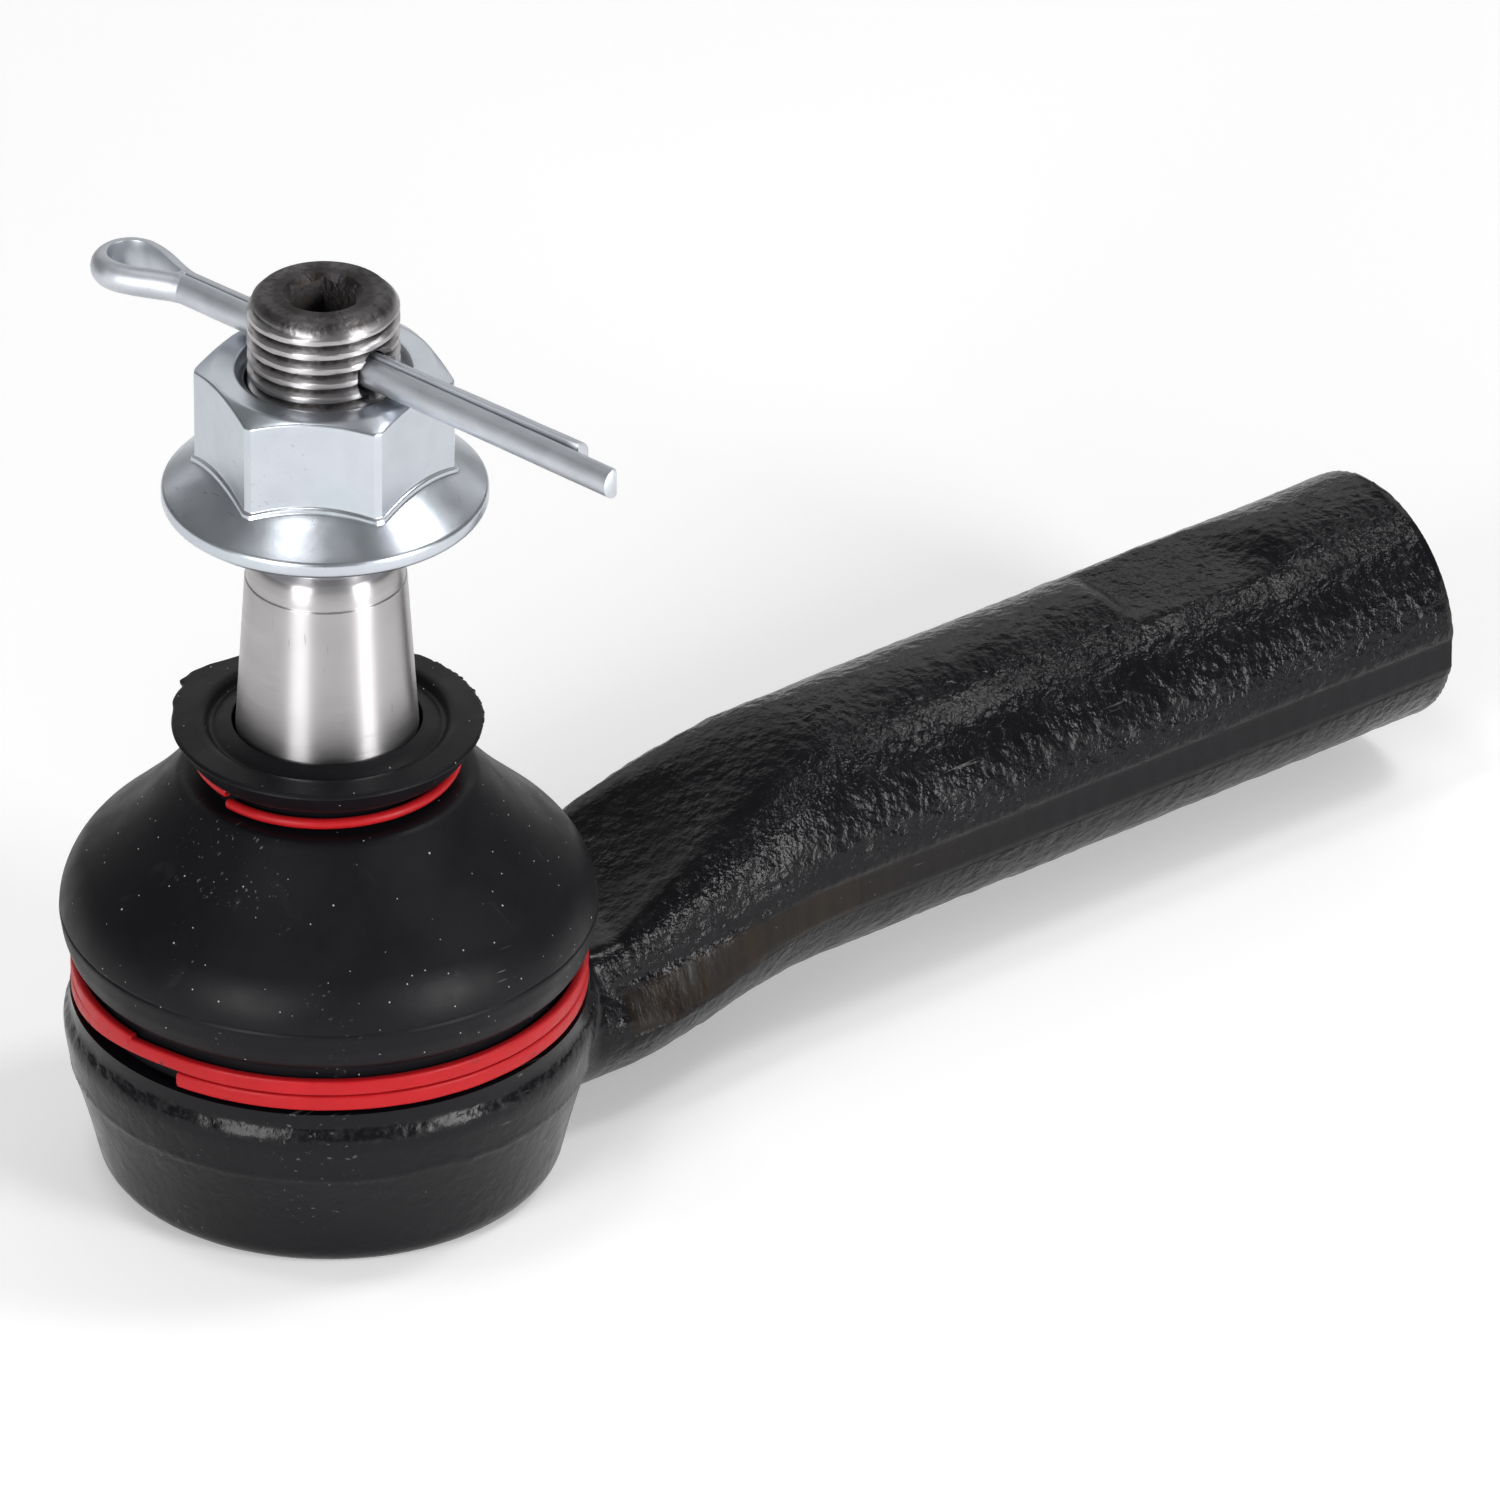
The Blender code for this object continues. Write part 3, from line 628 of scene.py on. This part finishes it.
def in_forging(place):
    """From 0 to 1, how rough the skin is: full on the shank, faint on the socket and its machined faces."""
    distance = math.hypot(place.x, place.y)
    shank = smooth_step((distance - 24.3) / 2.5)
    end = smooth_step((SHANK_END - 0.3 - place.x) / 0.5)
    socket = 0.22 if place.z < 16.2 and distance > 20.0 else 0.03
    outside = smooth_step((math.hypot(place.y, place.z - SHANK_HEIGHT) - BORE_RADIUS - 1.7) / 0.4)
    if place.x > SHANK_END - BORE_DEPTH - 5.0:
        end = min(end, outside)
    below = relief_height(distance) - place.z
    dish = smooth_step((0.9 - below) / 0.6) * (distance < 55.0)
    ridge = 0.6 * bump_at(below, 2.6, 2.2) * (distance < 58.0)
    return max(socket, shank * end) * (1.0 - 0.9 * in_trim(place)) * (1.0 - 0.5 * dish + ridge)


def in_chips(place):
    """From 0 to 1, where the paint is worn: the socket's upper edge and its underside's rim."""
    distance = math.hypot(place.x, place.y)
    edge = bump_at(place.z, 15.9, 1.1) * smooth_step((distance - 23.2) / 0.6)
    rim = bump_at(place.z, 0.2, 0.9)
    return max(edge, rim * 0.8) * (distance < 25.4)


def forged_skin(place):
    """How far the finished skin stands off the plain shape, in mm."""
    rough = in_forging(place)
    push = rough * (0.07 * grain(place, 1.5, 3) + 0.1 * grain(place, 9.0, 2))
    distance = math.hypot(place.x, place.y)
    if 22.0 < distance < 25.4 and place.z < 17.0:
        at = Vector((math.radians(around(place)) * 24.0, place.z * 1.4, 0.0))
        push -= 0.2 * bump_at(place.z, 16.1, 0.9) * max(0.0, grain(at, 1.9, 3) - 0.02)
        push += 0.08 * bump_at(place.z, 11.1 + 0.3 * grain(at, 9.0, 2), 0.4)
    trim = in_trim(place)
    if trim:
        push += trim * 0.03 * noise.noise(Vector((place.x / 0.9, place.z / 9.0, 0.0)))
    return push


def neck_fillet(place):
    """Where the shank grows out of the socket: the crease there is rounded."""
    distance = math.hypot(place.x, place.y)
    beside = bump_at(abs(place.y), 13.2, 5.0) * bump_at(place.x, 22.5, 7.5)
    low_down = smooth_step((4.0 - place.z) / 3.0)
    under = bump_at(distance, 23.5, 5.0) * low_down * smooth_step((place.x - 14.0) / 6.0)
    return max(beside * smooth_step((15.6 - place.z) / 1.2), under)


def thread_depth(height, angle):
    """How far below its crest a right-hand thread's surface lies."""
    from_root = abs((height / THREAD_PITCH - angle / 360.0) % 1.0 - 0.5) * 2.0
    return THREAD_DEPTH * min(max((0.64 - from_root) / 0.52, 0.0), 1.0)


def bore_tool():
    """What the shank's threaded bore leaves empty: a countersink, an M16 thread, and a drilled end."""
    top, bottom = 1.0, -BORE_DEPTH - 4.0
    mouth = BORE_RADIUS + 1.25
    corners = [(0.0, top, 0.0), (mouth + 0.9, top, 0.0), (BORE_RADIUS, -mouth + BORE_RADIUS, 0.0),
               (BORE_RADIUS, -BORE_DEPTH, 0.0), (0.0, bottom, 0.0)]
    tool = lathe("bore_tool", corners, 96, 0.15)
    places = read(tool)
    for place in places:
        radius = math.hypot(place[0], place[1])
        if radius > 0.98 * BORE_RADIUS and place[2] > -BORE_THREAD:
            angle = math.degrees(math.atan2(place[1], place[0]))
            fade = smooth_step((place[2] + BORE_THREAD) / 2.0)
            threaded = BORE_RADIUS + (THREAD_DEPTH - thread_depth(place[2], angle)) * fade
            place[:2] *= max(radius, threaded) / radius
    write(tool, places)
    tool.location = Vector((SHANK_END, 0.0, SHANK_HEIGHT)) * MM
    tool.rotation_euler.y = math.radians(90.0)
    return tool


def cavity_tool():
    """What the socket leaves empty inside: the seat's sphere, the bore, and the recess of the cover."""
    opening = math.degrees(math.asin((OPENING - BALL_HEIGHT) / SEAT_RADIUS))
    mouth = SEAT_RADIUS * math.cos(math.radians(opening))
    corners = [(0.0, OPENING + 2.0, 0.0), (mouth + 0.5, OPENING + 2.0, 0.0), (mouth + 0.5, OPENING, 0.0)]
    corners += arc((0.0, BALL_HEIGHT), SEAT_RADIUS, opening - 2.0, 0.0, 12)
    corners += [(CAVITY_RADIUS, BALL_HEIGHT - 0.6, 0.2), (CAVITY_RADIUS, CAVITY_BOTTOM, 0.0),
                (COVER_RADIUS + 0.3, CAVITY_BOTTOM, 0.0), (COVER_RADIUS + 0.3, LIP, 0.3),
                (LIP_RADIUS, LIP * 0.8, 0.15), (LIP_RADIUS - 0.3, 0.0, 0.0), (LIP_RADIUS - 0.3, -1.0, 0.0),
                (0.0, -1.0, 0.0)]
    return lathe("cavity_tool", corners, 128, 1.5)


def boot_groove_tool():
    """What is turned away above the socket's wall to hold the boot's foot."""
    corners = [(0.0, 24.5), (27.0, 24.5), (27.0, 18.0), (20.6, 18.0), (20.6, 20.8), (21.4, 21.2),
               (21.4, 21.9), (20.7, OPENING), (0.0, OPENING)]
    return lathe("boot_groove_tool", [corner + (0.0,) for corner in corners], 128, 3.0)


def forged_socket():
    """Socket and shank: one forging with a fine mesh, roughened, then cut by its machined faces."""
    forging = shank_blank()
    blank = socket_blank()
    combine(forging, blank, "UNION")
    grid = forging.modifiers.new("grid", "REMESH")
    grid.mode = "VOXEL"
    grid.voxel_size = VOXEL * MM
    apply(forging)
    bpy.data.objects.remove(blank)
    relax(forging, neck_fillet, 70)
    displace(forging, forged_skin)
    places = read(forging)
    places[:, Z] = np.maximum(places[:, Z], 0.0)
    write(forging, places)
    cut(forging, boot_groove_tool())
    cut(forging, cavity_tool())
    cut(forging, bore_tool())
    mark(forging, "trim", in_trim)
    mark(forging, "forged", in_forging)
    mark(forging, "chips", in_chips)
    mark(forging, "neck", lambda place: smooth_step((78.0 - place.x) / 40.0))
    dress(forging, forged_black(), "black_paint", "socket_housing")
    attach(forging, "socket")


def end_cover():
    """The disc that closes the socket, its middle pressed level with the socket's rolled lip."""
    corners = [(0.0, COVER_TOP, 0.0), (COVER_RADIUS, COVER_TOP, 0.2), (COVER_RADIUS, 1.0, 0.1),
               (LIP_RADIUS - 0.1, 1.0, 0.2), (16.4, 0.5, 0.3), (16.0, 0.0, 0.3), (11.0, 0.0, 0.3),
               (10.4, 0.35, 0.3), (7.5, 0.35, 0.3), (6.9, 0.0, 0.3), (0.0, 0.0, 0.0)]
    cover = lathe("pressed_cover", corners, 128, 0.6)
    plated = zinc("dull_zinc_cover", (0.5, 0.52, 0.53), (0.4, 0.41, 0.42), 0.42)
    dress(cover, plated, "dull_zinc", "end_cover")
    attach(cover, "socket")


# ---------------------------------------------------------------- stud, nut and cotter pin

def pin_axes():
    angle = math.radians(PIN_ANGLE)
    along = Vector((math.cos(angle), math.sin(angle), 0.0))
    return along, Vector((-along.y, along.x, 0.0))


def stud_dull_and_painted_shade(place):
    """From 0 to 1, where the stud is not turned bright but rougher and darker: its end, its key socket, and
    the thread's roots; in the key socket and the roots the darker grey is painted shade.
    """
    radius = math.hypot(place.x, place.y)
    end = 0.87 * smooth_step((place.z - STUD_TOP + 0.25) / 0.2) if radius < THREAD_RADIUS - 0.7 else 0.0
    inside = 1.0 if radius < 4.5 and place.z > STUD_TOP - KEY_DEPTH - 1.0 else 0.0
    root = 0.87 * smooth_step((THREAD_RADIUS - 0.2 - radius) / 0.45) if place.z > THREAD_BOTTOM else 0.0
    return max(end, inside, root)


def threaded_stud():
    """The stud: a threaded end with its key socket and cross hole, a taper, a neck and the ball."""
    corners = [(0.0, STUD_TOP, 0.0), (THREAD_RADIUS - 1.1, STUD_TOP, 0.25),
               (THREAD_RADIUS, STUD_TOP - 1.15, 0.3)]
    crests = np.arange(STUD_TOP - 1.5, THREAD_BOTTOM, -0.11)
    corners += [(THREAD_RADIUS, height, 0.0) for height in crests]
    corners += [(THREAD_RADIUS - THREAD_DEPTH, THREAD_BOTTOM - 0.9, 0.3), (6.1, SHOULDER_TOP + 0.15, 0.2),
                (6.5, SHOULDER_TOP - 0.1, 0.3), (7.05, SHOULDER_TOP - 0.5, 0.6), (7.32, 62.4, 0.8),
                (7.34, 61.5, 0.05), (7.46, 61.4, 0.05), TAPER_TOP + (0.15,), TAPER_BOTTOM + (0.3,),
                (8.3, 45.2, 0.2), (BOOT_SEAT, 44.4, 0.2), (BOOT_SEAT, 39.5, 0.5), (6.9, 35.5, 1.5),
                (STUD_NECK, 32.5, 1.0), (STUD_NECK, 28.2, 0.6)]
    flat = math.degrees(math.asin((BALL_BOTTOM - BALL_HEIGHT) / BALL_RADIUS))
    corners += arc((0.0, BALL_HEIGHT), BALL_RADIUS, 57.0, flat, 50) + [(0.0, BALL_BOTTOM, 0.0)]
    stud = lathe("threaded_ball_stud", corners, 128, 0.7)
    places = read(stud)
    for place in places:
        radius = math.hypot(place[0], place[1])
        if radius > THREAD_RADIUS - 1.3 and place[2] > THREAD_BOTTOM - 0.8:
            angle = math.degrees(math.atan2(place[1], place[0]))
            fade = smooth_step((STUD_TOP - 0.5 - place[2]) / 0.8)
            fade *= smooth_step((place[2] - THREAD_BOTTOM + 0.5) / 1.2)
            valley = THREAD_RADIUS - thread_depth(place[2], angle) * fade
            place[:2] *= min(radius, valley) / radius
    write(stud, places)
    corner = KEY_FLATS / math.sqrt(3.0)
    flats = [(0.0, STUD_TOP + 1.0, 0.0), (corner, STUD_TOP + 1.0, 0.0),
             (corner, STUD_TOP - KEY_DEPTH, 0.0), (0.0, STUD_TOP - KEY_DEPTH - 1.2, 0.0)]
    key = lathe("key_tool", flats, 6, 9.0)
    key.rotation_euler.z = math.radians(KEY_TURN + 30.0)
    cut(stud, key)
    countersink = [(0.0, STUD_TOP + 1.0, 0.0), (corner + 1.2, STUD_TOP + 1.0, 0.0),
                   (corner - 0.6, STUD_TOP - 0.8, 0.0), (0.0, STUD_TOP - 0.8, 0.0)]
    cut(stud, lathe("key_countersink", countersink, 64, 9.0))
    mouth = PIN_HOLE + 0.6
    drilled = [(0.0, 10.0, 0.0), (mouth, 10.0, 0.0), (mouth, 6.6, 0.0), (PIN_HOLE, 5.9, 0.0),
               (PIN_HOLE, -5.9, 0.0), (mouth, -6.6, 0.0), (mouth, -10.0, 0.0), (0.0, -10.0, 0.0)]
    hole = lathe("pin_hole_tool", drilled, 48, 2.0)
    hole.location.z = PIN_HEIGHT * MM
    hole.rotation_mode = "QUATERNION"
    hole.rotation_quaternion = Vector((0, 0, 1)).rotation_difference(pin_axes()[0])
    cut(stud, hole)
    # The rough attribute also carries painted shade into the key socket and the thread's roots.
    mark(stud, "rough", stud_dull_and_painted_shade)
    dress(stud, turned_steel(), "machined_steel", "ball_stud")
    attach(stud, "stud")


def nut_outline(angle):
    """The nut's outline at an angle: bore, chamfered top, a flat, a ledge, flange and underside."""
    off = (angle - NUT_TURN + 30.0) % 60.0 - 30.0
    corner = NUT_FLATS / math.sqrt(3.0)
    wall = min(NUT_FLATS / 2 / math.cos(math.radians(off)), corner - 0.22)
    inside = NUT_FLATS / 2 - 0.35
    edge = NUT_TOP - (wall - inside) * math.tan(math.radians(28.0))

    def flange(radius):
        """Height of the flange's upper side at a radius."""
        return NUT_BOTTOM + FLANGE_RIM + (FLANGE_RADIUS - 0.4 - radius) * 0.7

    rim = NUT_BOTTOM + FLANGE_RIM
    return [(NUT_BORE, NUT_BOTTOM + 0.9, 0.0), (NUT_BORE, NUT_TOP - 0.9, 0.2),
            (NUT_BORE + 0.9, NUT_TOP, 0.15), (inside, NUT_TOP, 0.25), (wall, edge, 0.22),
            (wall, flange(wall + 0.3) + 0.55, 0.12),
            (wall + 0.25, flange(wall + 0.3) + 0.4, 0.1), (wall + 0.32, flange(wall + 0.32), 0.15),
            (FLANGE_RADIUS - 0.6, rim + 0.1, 0.35), (FLANGE_RADIUS, rim - 0.35, 0.3),
            (FLANGE_RADIUS, NUT_BOTTOM + 0.4, 0.3), (FLANGE_RADIUS - 0.4, NUT_BOTTOM, 0.2),
            (NUT_BORE + 0.9, NUT_BOTTOM, 0.1), (NUT_BORE, NUT_BOTTOM + 0.9, 0.0)]


def flange_nut():
    nut = lathe("hexagon_flange_nut", nut_outline, 288, 0.6, closed=True)
    displace(nut, lambda place: 0.02 * grain(place, 5.0, 2))
    plated = zinc("zinc_plate", (0.56, 0.59, 0.64), (0.48, 0.515, 0.565), 0.3)
    dress(nut, plated, "zinc_plate", "flange_nut", sharp=24.0)
    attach(nut, "nut")


def eye_side(centre, side):
    """One side of the pin's eye, from its widest point to where the legs meet."""
    widest = side * PIN_EYE_RADIUS - PIN_EYE_LEAN
    closed = side * PIN_SPLIT
    side_points = []
    for i in range(9):
        t = i / 8
        along = centre + (-PIN_EYE_NECK - centre) * t
        side_points.append((along, widest + (closed - widest) * smooth_step(t)))
    return side_points


def cotter_pin():
    """Half-round wire folded round an eye; its legs part a little towards their ends."""
    along, across = pin_axes()
    centre = PIN_EYE_RADIUS + PIN_RADIUS - PIN_EYE_END
    route = [(PIN_LONG_LEG, -PIN_SPLIT - 0.1), (18.0, -PIN_SPLIT), (0.0, -PIN_SPLIT)]
    route += eye_side(centre, -1)[::-1]
    for i in range(1, 12):
        angle = math.radians(270.0 - 15.0 * i)
        aside = PIN_EYE_RADIUS * math.sin(angle) - PIN_EYE_LEAN
        route.append((centre + PIN_EYE_RADIUS * math.cos(angle), aside))
    route += eye_side(centre, 1)
    route += [(0.0, PIN_SPLIT), (18.0, PIN_SPLIT + 0.05), (PIN_SHORT_LEG, PIN_SPLIT + 0.22)]
    height = Vector((0.0, 0.0, PIN_HEIGHT))
    rises = [PIN_LEG_RISE * smooth_step((a + 8.0) / 16.0) if c > 0 else 0.0 for a, c in route]
    lifts = [height + Vector((0.0, 0.0, rise)) for rise in rises]
    path = smooth_path([along * a + across * c + lift for (a, c), lift in zip(route, lifts)], 6)
    section = [(-0.02, PIN_RADIUS - 0.06), (-0.07, PIN_RADIUS - 0.18), (-0.07, -PIN_RADIUS + 0.18),
               (-0.02, -PIN_RADIUS + 0.06)]
    for i in range(17):
        angle = math.radians(-84.0 + 168.0 * i / 16)
        section.append((PIN_RADIUS * math.cos(angle), PIN_RADIUS * math.sin(angle)))
    pin = sweep("folded_cotter_pin", path, [(-a, b) for a, b in section])
    displace(pin, lambda place: 0.025 * grain(place, 2.5, 3))
    dress(pin, zinc("dull_zinc", (0.58, 0.6, 0.64), (0.46, 0.48, 0.51), 0.48), "dull_zinc", "cotter_pin")
    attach(pin, "pin")


# ---------------------------------------------------------------- boot and its rings

def rubber_shape(place):
    """The boot's small departures from its turned shape, in mm."""
    angle = around(place)
    radius = math.hypot(place.x, place.y)
    away = turn_between(angle, DENT_ANGLE) * math.pi / 180.0 * radius
    dent = math.exp(-((away / 4.2) ** 2) - ((place.z - DENT_HEIGHT) / 1.7) ** 2)
    seam = 0.0
    if radius > 24.0:
        seam = bump_at(place.z, SEAM_HEIGHT + 0.06 * noise.noise(place / 6.0), 0.22)
    return -0.12 * dent - 0.12 * seam + 0.03 * grain(place, 9.0, 2)


def flash_of(angle, radius):
    """The torn flash round the collar's rim."""
    falling = 0.6 * smooth_step((117.0 - angle) / 3.0) + 0.4 * smooth_step((136.0 - angle) / 12.0)
    tab = smooth_step((angle - 86.0) / 27.0) * falling
    fringe = smooth_step((angle + 45.0) / 12.0) * smooth_step((30.0 - angle) / 12.0)
    teeth = noise.noise(Vector((angle / 1.7, 3.0, 0.0)))
    waves = noise.noise(Vector((angle / 6.0, 0.0, 0.0)))
    torn = 1.3 * tab * (0.9 + 0.2 * waves) + fringe * (0.16 + 0.3 * teeth)
    return max(torn, 0.04 * teeth) * smooth_step((radius - 13.6) / 0.6)


def boot_neck():
    """Upper half of the boot: collar, ring groove and the top of the cone."""
    shift = BOOT_WALL / math.sqrt(2.0)
    inside = (BOOT_SPLIT[0] - shift, BOOT_SPLIT[1] - shift)
    lip = [(8.7, 45.1, 0.0), (8.75, 46.3, 0.2), (9.9, 45.9, 0.5), (10.75, 45.4, 0.3), (11.35, 46.1, 0.25),
           (11.8, 46.25, 0.3), (14.1, 46.05, 0.12), (14.35, 45.75, 0.12), (12.95, 43.6, 0.4),
           (12.5, 43.4, 0.2), (11.1, 43.4, 0.1)]
    cone = [(11.1, 40.9, 0.1), (13.2, 40.9, 0.4), (13.8, 40.6, 0.5), BOOT_CONE + (3.0,)]
    corners = lip + cone + [BOOT_SPLIT + (0.0,), inside + (0.0,),
                            (BOOT_CONE[0] - shift, BOOT_CONE[1] - shift, 2.0),
                            (13.8 - shift, 40.6 - shift, 1.0), (9.2, 39.8, 0.3), (7.9, 40.4, 0.2),
                            (7.9, 44.1, 0.3), (8.7, 45.1, 0.0)]
    neck = lathe("boot_collar", corners, 360, 0.3, closed=True)
    displace(neck, lambda place: rubber_shape(place) * smooth_step((place.z - BOOT_SPLIT[1] - 0.5) / 2.0))
    places = read(neck)
    for place in places:
        radius = math.hypot(place[0], place[1])
        if place[2] > 45.4 and radius > 13.6:
            place[:2] *= 1.0 + flash_of(around(Vector(place)), radius) / radius
    write(neck, places)
    return neck


def boot_skirt():
    """Lower half of the boot: cone, belly, and the foot that sits in the socket's groove."""
    shift = BOOT_WALL / math.sqrt(2.0)
    inside = (BOOT_SPLIT[0] - shift, BOOT_SPLIT[1] - shift)
    belly = arc(BELLY_CENTRE, BOOT_WIDEST - BELLY_CENTRE[0], 46.0, 0.0, 64)
    inner = arc(BELLY_CENTRE, BOOT_WIDEST - BELLY_CENTRE[0] - BOOT_WALL, 0.0, 46.0, 12)
    foot = [(24.6, 24.8, 0.4), (24.1, 23.3, 0.5), (23.4, 22.6, 0.4), (22.7, 22.4, 0.1), (22.7, 18.3, 0.1),
            (20.9, 18.3, 0.1), (20.9, 20.6, 0.1), (21.7, 21.2, 0.1), (21.7, 22.4, 0.3), (22.6, 24.2, 0.5)]
    corners = [BOOT_SPLIT + (0.0,)] + belly + foot + inner + [inside + (0.0,), BOOT_SPLIT + (0.0,)]
    skirt = lathe("boot_skirt", corners, 360, 0.35, closed=True)
    displace(skirt, lambda place: rubber_shape(place) * smooth_step((BOOT_SPLIT[1] - 0.3 - place.z) / 1.0))
    return skirt


def dust_boot():
    rubber = black_rubber()
    for half in (boot_neck(), boot_skirt()):
        dress(half, rubber, "black_rubber", "dust_boot", sharp=45.0)
        if half.name == "boot_collar":
            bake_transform(half)
        else:
            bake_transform(half)


def ring_path(radius, start, turns, height):
    """Points along a wire ring; height gives each point's height from how far it has turned, in degrees."""
    count = int(turns * 160)
    path = []
    for i in range(count + 1):
        turned = 360.0 * turns * i / count
        angle = math.radians(start + turned)
        path.append(Vector((radius * math.cos(angle), radius * math.sin(angle), height(turned))))
    return path


def boot_rings():
    red = red_wire()
    half_width, half_height = LOWER_WIRE[0] / 2, LOWER_WIRE[1] / 2
    flat = []
    for i in range(24):
        angle = math.tau * i / 24
        cos, sin = math.cos(angle), math.sin(angle)
        flat.append((half_width * math.copysign(abs(cos) ** 0.45, cos),
                     half_height * math.copysign(abs(sin) ** 0.45, sin)))
    bottom = low("boot_lower_ring", Z) + half_height

    def climb(turned):
        onto = smooth_step((turned - 360.0 + LOWER_RING_CLIMB) / LOWER_RING_CLIMB)
        return bottom + LOWER_RING_PITCH * onto

    path = ring_path(LOWER_RING_RADIUS, LOWER_RING_START, LOWER_RING_TURNS, climb)
    lower = sweep("flat_wire_ring", path, flat)
    displace(lower, lambda place: 0.02 * grain(place, 3.0, 2))
    dress(lower, red, "red_wire", "boot_lower_ring")
    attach(lower, "socket")
    turns = [math.tau * i / 16 for i in range(16)]
    rounded = [(UPPER_WIRE * math.cos(angle), UPPER_WIRE * math.sin(angle)) for angle in turns]
    rest = low("boot_upper_ring", Z) + UPPER_WIRE
    rise = high("boot_upper_ring", Z) - UPPER_WIRE - rest
    path = ring_path(UPPER_RING_RADIUS, UPPER_RING_START, UPPER_RING_TURNS,
                     lambda turned: rest + rise * turned / 360.0)
    upper = sweep("round_wire_ring", path, rounded)
    displace(upper, lambda place: 0.015 * grain(place, 3.0, 2))
    dress(upper, red, "red_wire", "boot_upper_ring")
    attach(upper, "boot_collar")


def inner_pieces():
    """The seats and the spring are hidden; their CAD solids stay and get their materials."""
    plastic = seat_plastic()
    for node, material in (("upper_ball_seat", plastic), ("lower_ball_seat", plastic),
                           ("preload_spring", spring_steel())):
        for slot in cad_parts[node].material_slots:
            slot.material = material


# ---------------------------------------------------------------- floor, lights and camera

CAMERA_AZIMUTH = -38.0
CAMERA_ELEVATION = 30.5
CAMERA_DISTANCE = 2.4
CAMERA_LENS = 622.1
LOOK_AT = Vector((0.0420, -0.0092, 0.0317))
FLOOR_SIZE = 4000.0
FLOOR_HEIGHT = -0.05
FLOOR_GLOW = 0.22            # keeps the paper white where the softboxes reach it least
WORLD_STRENGTH = 0.19
SOFTBOXES = (                # azimuth from the camera's, elevation, distance, width, height, watts
    ("left_softbox", -35.0, 18.0, 0.9, 0.34, 0.5, 5.0),
    ("right_softbox", 50.0, 16.0, 0.9, 0.28, 0.5, 6.0),
    ("top_left_softbox", -75.0, 76.0, 1.2, 0.22, 0.22, 1.7),
    ("top_right_softbox", 107.0, 58.0, 1.2, 0.26, 0.28, 3.0),
    ("back_softbox", 180.0, 30.0, 1.3, 2.0, 0.8, 4.0),
)


def bearing(azimuth, elevation):
    """The direction from the object towards a viewer; azimuth 0 looks along +Y."""
    a, e = math.radians(azimuth), math.radians(elevation)
    return Vector((math.sin(a) * math.cos(e), -math.cos(a) * math.cos(e), math.sin(e)))


def aim(obj, towards):
    obj.rotation_euler = (towards - obj.location).to_track_quat("-Z", "Y").to_euler()


def softbox(name, azimuth, elevation, distance, width, height, watts):
    light = bpy.data.lights.new(name, "AREA")
    light.shape = "RECTANGLE"
    light.size = width
    light.size_y = height
    light.energy = watts
    obj = bpy.data.objects.new(name, light)
    obj.location = LOOK_AT + bearing(CAMERA_AZIMUTH + azimuth, elevation) * distance
    aim(obj, LOOK_AT)
    bpy.context.scene.collection.objects.link(obj)


def studio():
    """White paper, a white world and five softboxes round the object."""
    corners = [(-1, -1), (1, -1), (1, 1), (-1, 1)]
    floor = piece("floor", [(FLOOR_SIZE * a, FLOOR_SIZE * b, FLOOR_HEIGHT) for a, b in corners],
                  [(0, 1, 2, 3)])
    paper = Paint("pale_floor", (0.9, 0.9, 0.9), 0.8)
    paper.set("Base Color", paper.colour(paper.noise(900.0, 2.0), (0.9, 0.9, 0.9), (0.92, 0.92, 0.92)))
    paper.shader.inputs["Emission Color"].default_value = (1.0, 1.0, 1.0, 1.0)
    paper.shader.inputs["Emission Strength"].default_value = FLOOR_GLOW
    floor.data.materials.append(paper.material)
    world = bpy.data.worlds.new("studio")
    world.use_nodes = True
    background = world.node_tree.nodes["Background"]
    background.inputs["Color"].default_value = (1.0, 1.0, 1.0, 1.0)
    background.inputs["Strength"].default_value = WORLD_STRENGTH
    bpy.context.scene.world = world
    bpy.context.scene.view_settings.view_transform = "Standard"
    for box in SOFTBOXES:
        softbox(*box)


def camera():
    data = bpy.data.cameras.new("camera")
    data.lens = CAMERA_LENS
    data.sensor_width = 36.0
    data.clip_end = 20.0
    obj = bpy.data.objects.new("camera", data)
    obj.location = LOOK_AT + bearing(CAMERA_AZIMUTH, CAMERA_ELEVATION) * CAMERA_DISTANCE
    aim(obj, LOOK_AT)
    bpy.context.scene.collection.objects.link(obj)
    bpy.context.scene.camera = obj


forged_socket()
end_cover()
inner_pieces()
threaded_stud()
flange_nut()
cotter_pin()
dust_boot()
boot_rings()
studio()
camera()
